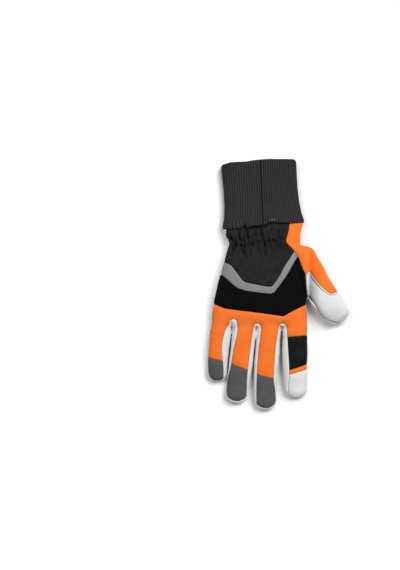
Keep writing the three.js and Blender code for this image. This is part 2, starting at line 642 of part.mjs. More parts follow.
// Pads sewn on the palm, following its surface.
const padLayer = gloveForm(-CLEARANCE - PAD_THICKNESS)
  .subtract(gloveForm(-CLEARANCE))
  .intersect(belowSideSeam(0));
const padOutline = (rows) => handLine(rows).flatMap((corner, i, line) => [
  corner.clone().lerp(line.at(i - 1), PAD_CORNER),
  corner.clone().lerp(line[(i + 1) % line.length], PAD_CORNER),
]);
place('palm_pad_knuckle', padLayer.intersect(prism(padOutline(KNUCKLE_PAD), -HIGH, HIGH)), MATERIALS.white);
place('palm_pad_thumb', padLayer.intersect(prism(padOutline(THUMB_PAD), -HIGH, HIGH)), MATERIALS.white);
place('palm_pad_heel', padLayer.intersect(prism(padOutline(HEEL_PAD), -HIGH, HIGH)), MATERIALS.white);

// Cuff label: a bare rubber plate in a grey border, on the palm side of the cuff against its hem.
function cuffForm(inset, run) {
  const rings = CUFF_SECTIONS.map((row) => cuffSection(row, inset));
  rings.unshift(moved(rings[0], cuffAxis, -run));
  rings.push(moved(rings.at(-1), cuffAxis, run));
  return loft(rings, centreOf(rings[0]), centreOf(rings.at(-1)));
}
const labelLayer = cuffForm(-CLEARANCE - LABEL_THICKNESS, CUFF_OVERLAP)
  .subtract(cuffForm(-CLEARANCE, 2 * CUFF_OVERLAP))
  .intersect(belowSideSeam(0));
function labelOutline(border) {
  const half = LABEL_WIDTH / 2 - border;
  const taper = half - LABEL_TAPER;
  const corner = Math.max(LABEL_CORNER - border, 1);
  const near = border;
  const far = LABEL_LENGTH - border;
  const shape = [
    [-half, near], [half, near], [taper + corner / 4, far - corner], [taper - corner, far],
    [-taper + corner, far], [-taper - corner / 4, far - corner],
  ];
  return shape.map(([side, distance]) => onCuff(side + LABEL_OFFSET, distance));
}
const labelPrism = (border) => prism(labelOutline(border), -HIGH, HIGH);
const labelFrame = labelLayer.intersect(labelPrism(0)).subtract(labelPrism(LABEL_BORDER));
place('label_frame', labelFrame, MATERIALS.grey);
place('label_plate', labelLayer.intersect(labelPrism(LABEL_BORDER + CLEARANCE)), MATERIALS.rubber);

// The origin is the middle of the glove's footprint.
const extent = new THREE.Box3().setFromObject(glove);
const footprint = extent.getCenter(new THREE.Vector3()).setZ(extent.min.z);
glove.position.copy(footprint.negate());

export default glove;
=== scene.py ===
import bpy
import numpy as np
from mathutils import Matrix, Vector


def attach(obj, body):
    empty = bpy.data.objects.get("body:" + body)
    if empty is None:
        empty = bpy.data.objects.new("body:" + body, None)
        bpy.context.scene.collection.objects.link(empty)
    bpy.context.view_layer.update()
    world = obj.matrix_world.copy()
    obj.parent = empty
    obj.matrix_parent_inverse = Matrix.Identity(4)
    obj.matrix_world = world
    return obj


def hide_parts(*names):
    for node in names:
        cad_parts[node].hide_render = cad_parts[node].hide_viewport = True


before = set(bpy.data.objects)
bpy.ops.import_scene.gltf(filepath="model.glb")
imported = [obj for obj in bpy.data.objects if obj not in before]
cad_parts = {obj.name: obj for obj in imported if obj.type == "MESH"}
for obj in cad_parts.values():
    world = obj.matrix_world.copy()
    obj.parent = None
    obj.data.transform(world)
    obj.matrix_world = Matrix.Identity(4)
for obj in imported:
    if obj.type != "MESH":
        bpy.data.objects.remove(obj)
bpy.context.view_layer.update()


# Table, light and camera
# White paper under a large soft lamp at the upper right and a weaker one at the upper left, a little
# overexposed. The camera looks straight down from 3 m, as the photograph does.
TABLE_SIZE, SKY_LIGHT = 3, 0.05
# name, strength, spread, direction
LAMPS = [("softbox", 3.0, 0.7, (-0.5, -0.52, -1)), ("fill", 1.2, 0.7, (0.65, -0.4, -1))]
CAMERA_PLACE, CAMERA_LENS, CAMERA_REACH = (-0.0945, -0.0005, 3.0), 158, 20


def linear(code):
    """Linear colour with alpha of an sRGB hex value."""
    values = [int(code[i:i + 2], 16) / 255 for i in (1, 3, 5)]
    return [v / 12.92 if v <= 0.04045 else ((v + 0.055) / 1.055) ** 2.4 for v in values] + [1.0]


def add_node(tree, kind, inputs=None, **settings):
    """A node with its settings; an input is a value or the socket that feeds it."""
    node = tree.nodes.new(kind)
    for key, value in settings.items():
        setattr(node, key, value)
    for key, value in (inputs or {}).items():
        if isinstance(value, bpy.types.NodeSocket):
            tree.links.new(value, node.inputs[key])
        else:
            node.inputs[key].default_value = value
    return node


def new_material(name):
    """An empty node material and its tree."""
    material = bpy.data.materials.new(name)
    material.use_nodes = True
    material.node_tree.nodes.clear()
    return material, material.node_tree


def link(obj):
    bpy.context.scene.collection.objects.link(obj)
    return obj


paper, tree = new_material("seamless paper, matt")
matt = add_node(tree, "ShaderNodeBsdfDiffuse", {"Color": linear("#fdfdfd")})
add_node(tree, "ShaderNodeOutputMaterial", {"Surface": matt.outputs[0]})
floor_mesh = bpy.data.meshes.new("table")
corners = [(x * TABLE_SIZE, y * TABLE_SIZE, 0) for x, y in ((-1, -1), (1, -1), (1, 1), (-1, 1))]
floor_mesh.from_pydata(corners, [], [(0, 1, 2, 3)])
floor_mesh.materials.append(paper)
link(bpy.data.objects.new("table", floor_mesh))

world = bpy.data.worlds.new("studio")
world.use_nodes = True
sky = world.node_tree.nodes["Background"].inputs
sky["Color"].default_value = linear("#ffffff")
sky["Strength"].default_value = SKY_LIGHT
bpy.context.scene.world = world

for name, energy, angle, direction in LAMPS:
    lamp_data = bpy.data.lights.new(name, "SUN")
    lamp_data.energy = energy
    lamp_data.angle = angle
    lamp = link(bpy.data.objects.new(name, lamp_data))
    lamp.rotation_euler = Vector(direction).to_track_quat("-Z", "Y").to_euler()

camera_data = bpy.data.cameras.new("camera")
camera_data.lens = CAMERA_LENS
camera_data.clip_end = CAMERA_REACH
camera = link(bpy.data.objects.new("camera", camera_data))
camera.location = CAMERA_PLACE
bpy.context.scene.camera = camera
bpy.context.scene.view_settings.view_transform = "Standard"

# The hand's form
# Cloth back and leather palm are cut as flat panels and sewn into one hollow hand, turned right side out.
# The form that they make together is worked out here once, and each panel is then cut from it.
HAND_LENGTH, HAND_THICKNESS = 120, 27
FINGER_WIDTHS = [24.6, 28.4, 28.8, 29.6]
FINGER_LENGTHS = [71, 92, 100, 86]
FINGER_GAP, FINGER_THICKNESS = 0.9, 20
THUMB_LENGTH, THUMB_WIDTH, THUMB_THICKNESS, THUMB_ANGLE = 92, 35, 21, np.radians(32)
HAND_WIDTH = sum(FINGER_WIDTHS) + 3 * FINGER_GAP
PALM_FLOOR, WRIST_FLOOR = 1.8, 4.6
FLAT_SINK, SQUARENESS = 1.6, 2.5
FRAME_SHIFT = np.array([-23.436, 70.311, 0.0])
CUFF_TURN = np.radians(4.6)
CUFF_AXIS = np.array([-np.sin(CUFF_TURN), np.cos(CUFF_TURN)])
HAND_INTO_CUFF, END_SHARE = 9, 0.93
HAND_SIDES, FINGER_SIDES, THUMB_SIDES, WEB_SIDES = 72, 48, 56, 20

# left, left along, right, right along, thickness, lift
HAND_SECTIONS = [
    [-0.355, 0.035, 0.454, -0.025, 0.5, 1], [-0.357, 0.1, 0.43, 0.055, 0.6, 0.85],
    [-0.323, 0.17, 0.423, 0.14, 0.66, 0.6], [-0.345, 0.26, 0.446, 0.25, 0.82, 0.25],
    [-0.379, 0.39, 0.466, 0.39, 0.95, 0], [-0.427, 0.55, 0.479, 0.55, 1, 0],
    [-0.473, 0.74, 0.49, 0.74, 0.98, 0], [-0.499, 0.93, 0.499, 0.93, 0.9, 0],
    [-0.47, 0.995, 0.47, 0.995, 0.72, 0.5],
]
# root, lean, bow, thickness
FINGERS = [
    [0.96, -0.09, -0.013, 0.9], [1, -0.124, 0.005, 0.97], [1, -0.05, -0.018, 1], [1, 0.02, -0.009, 0.98],
]
# along, width, thickness, lift
FINGER_SECTIONS = [
    [-0.16, 0.94, 1.02, 1], [0.04, 0.99, 1.14, 1], [0.3, 1.03, 1.04, 0.9], [0.6, 1.0, 0.97, 0.4],
]
FINGER_ROOT, TIP_ROUND, TIP_WIDTH, TIP_THICKNESS = -0.3, 0.46, 0.95, 0.84
TIP_ANGLES = np.radians([0, 20, 38, 54, 68, 79])
THUMB_AT, THUMB_ROOT, THUMB_END = (0.431, 0.32), (-0.22, 0), (1, 0.04)
# along, outer side, inner side, thickness, lift
THUMB_SECTIONS = [
    [-0.1, 0.36, -0.3, 0.82, 0.16], [-0.02, 0.51, -0.46, 0.99, 0.07], [0.1, 0.505, -0.49, 1.1, 0.04],
    [0.25, 0.475, -0.505, 1.15, 0.05], [0.43, 0.44, -0.53, 1.13, 0.08], [0.62, 0.455, -0.545, 1.08, 0.1],
    [0.8, 0.48, -0.5, 1.0, 0.09], [0.91, 0.46, -0.385, 0.85, 0.11], [0.957, 0.37, -0.27, 0.66, 0.18],
    [0.985, 0.23, -0.13, 0.42, 0.27],
]


def smooth(rows, steps):
    """Rows joined by a curve that passes through them all."""
    rows = np.array(rows, float)
    ends = np.vstack([2 * rows[0] - rows[1], rows, 2 * rows[-1] - rows[-2]])
    t = np.arange(steps)[:, None] / steps
    spans = [
        b + 0.5 * t * (c - a + t * (2 * a - 5 * b + 4 * c - d + t * (3 * (b - c) + d - a)))
        for a, b, c, d in zip(ends, ends[1:], ends[2:], ends[3:])
    ]
    return np.vstack([*spans, rows[-1:]])


def on_hand(across, along):
    """Plan point on the hand, in hand widths and lengths from the middle of the wrist."""
    return np.stack([np.asarray(across, float) * HAND_WIDTH, -np.asarray(along, float) * HAND_LENGTH], -1)


def section(left, right, floor, thickness, sides):
    """A rounded section standing on the line between two plan points, pressed flat on its floor."""
    angle = (np.arange(sides) + 0.5) / sides * 2 * np.pi
    cos, sin = [np.sign(f(angle)) * np.abs(f(angle)) ** (2 / SQUARENESS) for f in (np.cos, np.sin)]
    points = (left + right) / 2 + np.outer(cos, (right - left) / 2)
    height = floor - FLAT_SINK + thickness / 2 * (1 + sin)
    return np.column_stack([points, np.maximum(height, floor)])


def tube_faces(rings, sides, closed=False):
    """Quads that join rings of equal count, the last back to the first on a closed wall."""
    ring, side = np.meshgrid(np.arange(rings if closed else rings - 1), np.arange(sides), indexing="ij")
    a, b = ring * sides + side, ring * sides + (side + 1) % sides
    up = (ring + 1) % rings * sides - ring * sides
    return np.stack([a, b, b + up, a + up], -1).reshape(-1, 4)


def loft(rings, start=None, end=None):
    """Points and faces of a closed form through rings, with a fan of faces at either end."""
    start = rings[0].mean(0) if start is None else [*start, rings[0].mean(0)[2]]
    end = rings[-1].mean(0) if end is None else [*end, rings[-1].mean(0)[2]]
    sides = len(rings[0])
    faces = tube_faces(len(rings), sides).tolist()
    last = (len(rings) - 1) * sides
    top = last + sides
    for i in range(sides):
        j = (i + 1) % sides
        faces.append((top, j, i))
        faces.append((top + 1, last + i, last + j))
    return np.vstack([*rings, start, end]), faces


def hand_form():
    rings = []
    for left, left_along, right, right_along, thick, lift in smooth(HAND_SECTIONS, 6):
        floor = PALM_FLOOR + (WRIST_FLOOR - PALM_FLOOR) * np.clip(lift, 0, 1)
        sides = on_hand(left, left_along), on_hand(right, right_along)
        rings.append(section(*sides, floor, thick * HAND_THICKNESS, HAND_SIDES))
    middle = rings[0].mean(0)
    rings.insert(0, middle + (rings[0] - middle) * END_SHARE + [*CUFF_AXIS * HAND_INTO_CUFF, 0])
    return loft(rings)


finger_roots = np.cumsum([0, *[w + FINGER_GAP for w in FINGER_WIDTHS[:3]]]) + np.array(FINGER_WIDTHS) / 2


def on_finger(finger, side, along):
    """Plan point on a finger, side in half widths and along in finger lengths."""
    root_along, lean, bow, _ = FINGERS[finger]
    length, width = FINGER_LENGTHS[finger], FINGER_WIDTHS[finger]
    root = np.array([finger_roots[finger] - HAND_WIDTH / 2, -root_along * HAND_LENGTH])
    tip = root + [lean * length, -length]
    middle = (root + tip) / 2 + [2 * bow * length, 0]
    t = np.clip(along, 0, 1)
    point = (1 - t) ** 2 * root + 2 * t * (1 - t) * middle + t * t * tip
    tangent = (1 - t) * (middle - root) + t * (tip - middle)
    tangent = tangent / np.linalg.norm(tangent)
    point = point + tangent * (along - t) * length
    return point + np.array([-tangent[1], tangent[0]]) * side * width / 2


def finger_form(finger):
    length, width = FINGER_LENGTHS[finger], FINGER_WIDTHS[finger]
    thickness = FINGERS[finger][3] * FINGER_THICKNESS
    tip_start = 1 - TIP_ROUND * width / length
    table = [[along, wide, thick, lift * PALM_FLOOR] for along, wide, thick, lift in FINGER_SECTIONS]
    for turn in TIP_ANGLES:
        thick = TIP_THICKNESS * np.cos(turn) ** 0.7
        table.append([
            tip_start + (1 - tip_start) * np.sin(turn), TIP_WIDTH * np.cos(turn) ** 0.8, thick,
            (TIP_THICKNESS - thick) * thickness / 2,
        ])
    rings = [
        section(on_finger(finger, -wide, along), on_finger(finger, wide, along), max(floor, 0),
                thick * thickness, FINGER_SIDES)
        for along, wide, thick, floor in smooth(table, 5)
    ]
    return loft(rings, on_finger(finger, 0, FINGER_ROOT), on_finger(finger, 0, 1))


def on_thumb(along, side):
    """Plan point on the thumb, along in thumb lengths and side in thumb widths."""
    run = np.array([np.sin(THUMB_ANGLE), -np.cos(THUMB_ANGLE)]) * THUMB_LENGTH
    across = np.array([np.cos(THUMB_ANGLE), np.sin(THUMB_ANGLE)]) * THUMB_WIDTH
    return on_hand(*THUMB_AT) + np.multiply.outer(along, run) + np.multiply.outer(side, across)


def thumb_form():
    rings = [
        section(on_thumb(along, inner), on_thumb(along, outer), PALM_FLOOR + lift * THUMB_THICKNESS,
                thick * THUMB_THICKNESS, THUMB_SIDES)
        for along, outer, inner, thick, lift in smooth(THUMB_SECTIONS, 6)
    ]
    return loft(rings, on_thumb(*THUMB_ROOT), on_thumb(*THUMB_END))


# Fingers touch down to where each slit starts. Past it they stand apart while the form is joined.
SLIT_STARTS = [-129.6, -136.8, -126.0]
SPREAD, SPREAD_LEAD, SPREAD_RUN = 3.4, 5, 8
WEB_START, WEB_HALF, WEB_FLOOR, WEB_HEIGHTS, WEB_RINGS = -106, 4.5, 2.4, (18.5, 11), 8
VOXEL, SKIN_ROUNDS, NORMAL_ROUNDS = 0.88, 30, 2
ROOTS_AT, ROOTS_WIDTH, ROOTS_ROUNDS = -114, 12, 90
LINE_POINTS, SNUG, LOWEST = 40, 0.97, 0.05
# Heights in mm between which each sets in
ROOTS_FROM, RIPPLES_FROM = (12, 16), (4, 8)
# rise in mm, mm to a radian across and along, start
RIPPLES = [[0.16, 7, 11, 0], [0.13, 4.3, -6, 1], [0.1, 15, 3.4, 0]]


def step(value, low, high):
    """0 below low and 1 above high, with a soft change between."""
    t = np.clip((value - low) / (high - low), 0, 1)
    return t * t * (3 - 2 * t)


def finger_shifts(y):
    """How far each finger is moved sideways at a height of the plan, the first at the little finger."""
    first, second, third = [
        SPREAD * step(-y, -start - SPREAD_LEAD, -start - SPREAD_LEAD + SPREAD_RUN) for start in SLIT_STARTS
    ]
    return [-first - second / 2, -second / 2, second / 2, third + second / 2]


def finger_edge(finger, side, y, snug=1.0):
    """Where a finger's edge crosses a height of the plan, side -1 for its left edge and 1 for its right."""
    return np.interp(y, *finger_lines[finger]) + side * FINGER_WIDTHS[finger] / 2 * snug


def web_form(gap):
    """The closed stretch between two fingers, from their crotch to the start of their slit."""
    rings = []
    for t in np.linspace(0, 1, WEB_RINGS):
        y = WEB_START + (SLIT_STARTS[gap] - WEB_START) * t
        middle = (finger_edge(gap, 1, y) + finger_edge(gap + 1, -1, y)) / 2
        shifts = finger_shifts(y)
        left, right = middle - WEB_HALF + shifts[gap], middle + WEB_HALF + shifts[gap + 1]
        height = np.interp(t, (0, 1), WEB_HEIGHTS)
        rings.append(section(np.array([left, y]), np.array([right, y]), WEB_FLOOR, height, WEB_SIDES))
    return loft(rings)


finger_lines = []
for i in range(4):
    line = np.array([on_finger(i, 0, along) for along in np.linspace(1, FINGER_ROOT, LINE_POINTS)])
    finger_lines.append((line[:, 1], line[:, 0]))
fingers = [finger_form(i) for i in range(4)]
for i, (points, _) in enumerate(fingers):
    points[:, 0] += finger_shifts(points[:, 1])[i]
forms = [hand_form(), thumb_form(), *fingers, *[web_form(gap) for gap in range(3)]]

skin_mesh = bpy.data.meshes.new("skin")
corners, faces = [], []
for points, form_faces in forms:
    faces += [[k + len(corners) for k in face] for face in form_faces]
    corners += points.tolist()
skin_mesh.from_pydata(corners, [], faces)
skin_object = link(bpy.data.objects.new("skin", skin_mesh))
remesh = skin_object.modifiers.new("join", "REMESH")
remesh.mode = "VOXEL"
remesh.voxel_size = VOXEL
joined = bpy.data.meshes.new_from_object(skin_object.evaluated_get(bpy.context.evaluated_depsgraph_get()))
bpy.data.objects.remove(skin_object)
joined.calc_loop_triangles()


def read(items, key, width, kind=float):
    """One attribute of every item of a mesh as rows of numbers."""
    values = np.empty(len(items) * width, kind)
    items.foreach_get(key, values)
    return values.reshape(-1, width)


skin = read(joined.vertices, "co", 3)
triangles = read(joined.loop_triangles, "vertices", 3, int)
edges = read(joined.edges, "vertices", 2, int)


def relaxed(values, rounds, weights=(0.5, -0.51)):
    """Values at the skin's points evened out with their neighbours', without shrinking the form."""
    both = np.vstack([edges, edges[:, ::-1]])
    count = np.bincount(both[:, 0], minlength=len(values))[:, None]
    for i in range(rounds):
        total = np.column_stack([
            np.bincount(both[:, 0], values[both[:, 1], k], len(values)) for k in range(values.shape[1])
        ])
        values = values + weights[i % 2] * (total / count - values)
    return values


skin = relaxed(skin, SKIN_ROUNDS)
# The fingers' roots run out smoothly into the back of the hand
at_roots = np.exp(-((skin[:, 1] - ROOTS_AT) / ROOTS_WIDTH) ** 2) * step(skin[:, 2], *ROOTS_FROM)
skin += (relaxed(skin, ROOTS_ROUNDS, (0.7, 0.7)) - skin) * at_roots[:, None]

# Back to the fingers' true places
shifts = finger_shifts(skin[:, 1])
back_by = np.array(shifts[0])
for i in range(3):
    low, high = [finger_edge(k, side, skin[:, 1], SNUG) + shifts[k] for k, side in ((i, 1), (i + 1, -1))]
    share = np.clip((skin[:, 0] - low) / np.maximum(high - low, 0.5), 0, 1)
    back_by = back_by + (shifts[i + 1] - shifts[i]) * share
skin[:, 0] -= back_by


def normals_of(points, faces):
    """Outward direction at each point of a triangle mesh."""
    a, b, c = [points[faces[:, k]] for k in range(3)]
    cross = np.cross(b - a, c - a)
    total = np.column_stack([
        sum(np.bincount(faces[:, k], cross[:, j], len(points)) for k in range(3)) for j in range(3)
    ])
    return total / np.maximum(np.linalg.norm(total, axis=1), 1e-12)[:, None]


# A soft unevenness of the worn-in skin; what lies on the table stays flat
x, y, z = skin.T
ripple = sum(rise * np.sin(x / across + y / along + start) for rise, across, along, start in RIPPLES)
skin = skin + normals_of(skin, triangles) * (ripple * step(z, *RIPPLES_FROM))[:, None]
skin[:, 2] = np.maximum(skin[:, 2], LOWEST)
skin_normals = relaxed(normals_of(skin, triangles), NORMAL_ROUNDS)
plan = skin[:, :2]

# Cutting and sewing
# A seam is a line drawn on the plan, and a panel is what lies on its own side of its seams.
# Each cut piece is rolled in at its seams, a little full between them, and given its wall.
FAR = 400
SEAM_GAP, WALL, EDGE_ROLL, ROLL_WIDTH, ROLL_MIDDLE, PUFF_WIDTH = 0.12, 1.5, 0.75, 1.7, 0.7, 7
CUT_MARGIN, CUT_CLEAR, PIECE_LOWEST = 3, 0.06, 0.04
least = np.minimum


def inside(points, outline):
    """Distance of plan points from an outline, positive inside it."""
    outline = np.asarray(outline, float)
    nearest = np.full(len(points), 1e9)
    within = np.zeros(len(points), bool)
    for a, b in zip(outline, np.roll(outline, -1, axis=0)):
        run = b - a
        t = np.clip(((points - a) @ run) / max(run @ run, 1e-9), 0, 1)
        gap = points - a - t[:, None] * run
        nearest = np.minimum(nearest, (gap * gap).sum(1))
        crossed = (a[1] > points[:, 1]) != (b[1] > points[:, 1])
        rise = np.where(abs(run[1]) > 1e-12, run[1], 1e-12)
        within ^= crossed & (points[:, 0] < a[0] + (points[:, 1] - a[1]) / rise * run[0])
    return np.where(within, 1, -1) * np.sqrt(nearest)


def hand_line(rows):
    return smooth(on_hand(*np.array(rows).T), 4)


def beyond(rows):
    """How far plan points lie on the fingers' side of a seam across the hand."""
    line = hand_line(rows)
    return inside(plan, [[-FAR, line[0][1]], *line, [FAR, line[-1][1]], [FAR, -FAR], [-FAR, -FAR]])


def past(finger, outer, inner, sag=0.0):
    """How far plan points lie on the tip's side of a seam across a finger."""
    seam = [[-1.1, outer], [-0.45, outer * 0.7 + inner * 0.3 + sag], [0.45, outer * 0.3 + inner * 0.7 + sag],
            [1.1, inner]]
    return inside(plan, [on_finger(finger, side, along) for side, along in [*seam, [1.1, 1.3], [-1.1, 1.3]]])


def split(points, faces, level, column):
    """The same triangles, cut along the line where a column of the points' values passes a level."""
    value = points[:, column] - level
    sign = value > 0
    count = sign[faces].sum(1)
    mixed = (count == 1) | (count == 2)
    cut = faces[mixed]
    alone = np.where((count[mixed] == 1)[:, None], sign[cut], ~sign[cut]).argmax(1)
    cut = np.take_along_axis(cut, (alone[:, None] + np.arange(3)) % 3, 1)
    pairs = np.sort(np.vstack([cut[:, [0, 1]], cut[:, [0, 2]]]), axis=1)
    unique, place = np.unique(pairs, axis=0, return_inverse=True)
    t = value[unique[:, 0]] / (value[unique[:, 0]] - value[unique[:, 1]])
    t = np.clip(t, CUT_CLEAR, 1 - CUT_CLEAR)[:, None]
    made = points[unique[:, 0]] * (1 - t) + points[unique[:, 1]] * t
    made[:, column] = level
    place = place.reshape(-1) + len(points)
    first, second = place[:len(cut)], place[len(cut):]
    new = np.vstack([
        np.column_stack([cut[:, 0], first, second]), np.column_stack([first, cut[:, 1], cut[:, 2]]),
        np.column_stack([first, cut[:, 2], second]),
    ])
    return np.vstack([points, made]), np.vstack([faces[~mixed], new])


def kept(points, faces, keep):
    """The chosen triangles alone, with only the points that they use."""
    faces = faces[keep]
    used, place = np.unique(faces, return_inverse=True)
    return points[used], place.reshape(-1, 3)


EDGE, BESIDE = 6, 7


def cut_panel(field, gap, levels, beside=None, beside_levels=()):
    """The skin inside a panel's edge: points with normal, distance from the edge and from one more line."""
    points = np.column_stack([skin, skin_normals, field, field if beside is None else beside])
    near = (field[triangles] > gap - CUT_MARGIN).any(1)
    points, faces = kept(points, triangles, near)
    for level in (gap, *levels):
        points, faces = split(points, faces, level, EDGE)
    for level in beside_levels:
        points, faces = split(points, faces, level, BESIDE)
    return kept(points, faces, points[faces, EDGE].mean(1) > gap)


def sides_of(faces):
    return np.vstack([faces[:, [0, 1]], faces[:, [1, 2]], faces[:, [2, 0]]])


def rim_of(faces):
    """The directed edges that only one triangle uses."""
    sides = sides_of(faces)
    _, first, count = np.unique(np.sort(sides, axis=1), axis=0, return_index=True, return_counts=True)
    return sides[first[count == 1]]


def new_piece(name, points, faces, material, smooth_faces=True):
    """A mesh object of points in millimetres, placed in the frame."""
    mesh = bpy.data.meshes.new(name)
    faces = faces.tolist() if isinstance(faces, np.ndarray) else faces
    mesh.from_pydata(((points + FRAME_SHIFT) / 1000).tolist(), [], faces)
    mesh.polygons.foreach_set("use_smooth", np.full(len(mesh.polygons), smooth_faces))
    mesh.materials.append(material)
    return link(bpy.data.objects.new(name, mesh))


def shell(name, outer, inner, faces, material):
    """A closed wall between two layers of the same triangles."""
    n = len(outer)
    a, b = rim_of(faces).T
    rim = np.vstack([np.column_stack([b, a, a + n]), np.column_stack([b, a + n, b + n])])
    return new_piece(name, np.vstack([outer, inner]), np.vstack([faces, faces[:, ::-1] + n, rim]), material)


def finish_piece(piece, node):
    """The piece rides on the glove and stands for the node, if it has one."""
    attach(piece, "root")
    if node:
        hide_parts(node)


def sewn_panel(node, field, material, puff=0.3, roll=EDGE_ROLL, relief=None, beside=None, levels=()):
    """A panel of the skin as a closed wall. Its relief gives folds in mm and how much painted shade darkens
    them.
    """
    points, faces = cut_panel(field, SEAM_GAP, (ROLL_MIDDLE, ROLL_WIDTH), beside, levels)
    place, normal, edge = points[:, :3], points[:, 3:EDGE], points[:, EDGE]
    t = np.clip((edge - SEAM_GAP) / ROLL_WIDTH, 0, 1)
    fold, shade = relief(points) if relief else (np.zeros(len(points)), None)
    lift = puff * step(edge, 0, PUFF_WIDTH) - roll * (1 - t) ** 2 + fold
    outer = place + normal * lift[:, None]
    outer[:, 2] = np.maximum(outer[:, 2], PIECE_LOWEST)
    piece = shell(node + "_sewn", outer, place + normal * (fold - WALL)[:, None], faces, material)
    if shade is not None:
        piece.data.attributes.new("shade", "FLOAT", "POINT").data.foreach_set("value", np.tile(shade, 2))
    finish_piece(piece, node)
    return piece


def bell(distance, width):
    """1 at no distance, falling away over a width."""
    return np.exp(-(distance / width) ** 2)


# Thumb cloth
# Fluorescent orange polyester, cut in one with the strip beside the wrist and wrapped round to the palm side.
# Folded stiff across the thumb's root, so one crease runs down it and the far side falls a little away.
SIDE_SEAM = [[-0.4, 0.42], [0.2, 0.42], [0.6, 0.47], [0.95, 0.43], [1.15, 0.38], [1.5, 0.36], [2.4, 0.33]]
TIP_SEAM_FROM, TIP_SEAM_FULL, TIP_SEAM_HEIGHTS = 0.84, 0.94, (0, 11.8, 11.8, 0)
# The thumb's inner seam, set a little in from its edge so that the palm leather shows beside it
THUMB_WELT = [
    [0.495, 0.7], [0.514, 0.731], [0.564, 0.782], [0.627, 0.873], [0.69, 0.931], [0.77, 0.961], [0.84, 0.976],
]
THUMB_PANEL_HAND = [
    [0.315, -0.2], [0.313, -0.04], [0.304, 0.05], [0.278, 0.14], [0.294, 0.18], [0.336, 0.22], [0.4, 0.31],
    [0.421, 0.36], [0.452, 0.44], [0.479, 0.485],
]
THUMB_PANEL_TIP = [[0.31, 0.01], [0.41, 0.045], [0.52, 0.11], [0.6, 0.22], [0.615, 0.42], [0.59, 0.6]]
PALM_THUMB = [[0.26, -0.2], [0.265, 0.1], [0.31, 0.2], [0.4, 0.3]]
PALM_THUMB_TIP = [[0.1, 0.12], [0.35, 0.2], [0.6, 0.34], [0.72, 0.6]]
# Points in mm that close the outlines away from their seams
WELT_BELOW, THUMB_BELOW, THUMB_BESIDE = [[97, -140], [66, -140], [56.2, -100]], -140, 60
TIP_RUN = 90

side_seam = np.array(SIDE_SEAM)
seam_height = np.interp(-plan[:, 1] / HAND_LENGTH, side_seam[:, 0], side_seam[:, 1] * HAND_THICKNESS)
for i, height in enumerate(TIP_SEAM_HEIGHTS):
    tip_share = step(past(i, TIP_SEAM_FROM, TIP_SEAM_FROM), 0, (TIP_SEAM_FULL - TIP_SEAM_FROM) * TIP_RUN)
    seam_height += np.maximum(height - seam_height, 0) * tip_share
welt = inside(plan, [*hand_line(THUMB_WELT), *WELT_BELOW])
above = least(skin[:, 2] - seam_height, -welt)
corners = [on_thumb(1.2, 2), on_thumb(0.5, 3), on_hand(1.2, -0.2)]
back_edge = [*hand_line(THUMB_PANEL_HAND), on_hand(0.526, 0.45)]
back_edge += [*smooth([on_thumb(a, s) for a, s in THUMB_PANEL_TIP], 4)]
palm_edge = [*hand_line(PALM_THUMB), *smooth([on_thumb(a, s) for a, s in PALM_THUMB_TIP], 4)]
thumb_cloth = inside(plan, [*palm_edge, *corners])
thumb_cloth += (inside(plan, [*back_edge, *corners]) - thumb_cloth) * np.clip(above / 2 + 0.5, 0, 1)
back = least(above, -thumb_cloth)


def on_surface(tree):
    return add_node(tree, "ShaderNodeTexCoord").outputs["Object"]


def stored(tree, name):
    """A number that the mesh keeps at its points."""
    return add_node(tree, "ShaderNodeAttribute", attribute_name=name).outputs["Fac"]


def finish_material(tree, color, roughness, specular, height, relief_mm, shaded=None):
    """The shader and its bump. The colour goes over to a second one where the shade attribute says so:
    painted shade in creases and folds, a painted highlight on the knit's pulled loops.
    """
    if shaded:
        mixed = {0: stored(tree, "shade"), 6: color, 7: linear(shaded)}
        color = add_node(tree, "ShaderNodeMix", mixed, data_type="RGBA").outputs[2]
    bump = add_node(tree, "ShaderNodeBump", {"Height": height, "Strength": 1.0, "Distance": relief_mm / 1000})
    shader = add_node(tree, "ShaderNodeBsdfPrincipled", {
        "Base Color": color, "Roughness": roughness, "Specular IOR Level": specular,
        "Normal": bump.outputs[0],
    })
    add_node(tree, "ShaderNodeOutputMaterial", {"Surface": shader.outputs[0]})


def calc(tree, operation, *values):
    return add_node(tree, "ShaderNodeMath", dict(enumerate(values)), operation=operation).outputs[0]


def noise(tree, coords, size_mm, detail=4.0):
    return add_node(tree, "ShaderNodeTexNoise", {
        "Vector": coords, "Scale": 1000 / size_mm, "Detail": detail, "Roughness": 0.6,
    }).outputs[0]


def blend_colors(tree, share, low, high, dark, light):
    """A colour between two hex values, as a share passes from low to high."""
    share = add_node(tree, "ShaderNodeMapRange", {0: share, 1: low, 2: high, 3: 0.0, 4: 1.0}).outputs[0]
    return add_node(tree, "ShaderNodeMix", {0: share, 6: linear(dark), 7: linear(light)},
                    data_type="RGBA").outputs[2]


def threads(tree, coords, axis, pitch_mm):
    """Threads lying side by side across an axis, from 0 in the grooves to 1 on the crowns."""
    wave = add_node(tree, "ShaderNodeTexWave", {
        "Vector": coords, "Scale": np.pi / 10 / (pitch_mm / 1000), "Distortion": 0.0,
    }, wave_type="BANDS", bands_direction=axis)
    return wave.outputs["Fac"]


def woven_cloth(name, light, dark, pitch_mm=1.6, relief_mm=0.1, roughness=0.9, specular=0.12, blotch_mm=16,
                shade_color=None):
    """Two sets of threads cross, and dye and wear vary in soft patches; some cloth is painted darker in its
    folds as painted shade.
    """
    material, tree = new_material(name)
    coords = on_surface(tree)
    weave = calc(tree, "MULTIPLY", *[threads(tree, coords, axis, pitch_mm) for axis in ("X", "Y")])
    share = calc(tree, "MULTIPLY_ADD", weave, 0.3, noise(tree, coords, blotch_mm))
    color = blend_colors(tree, share, 0.3, 0.9, dark, light)
    finish_material(tree, color, roughness, specular, weave, relief_mm, shade_color)
    return material
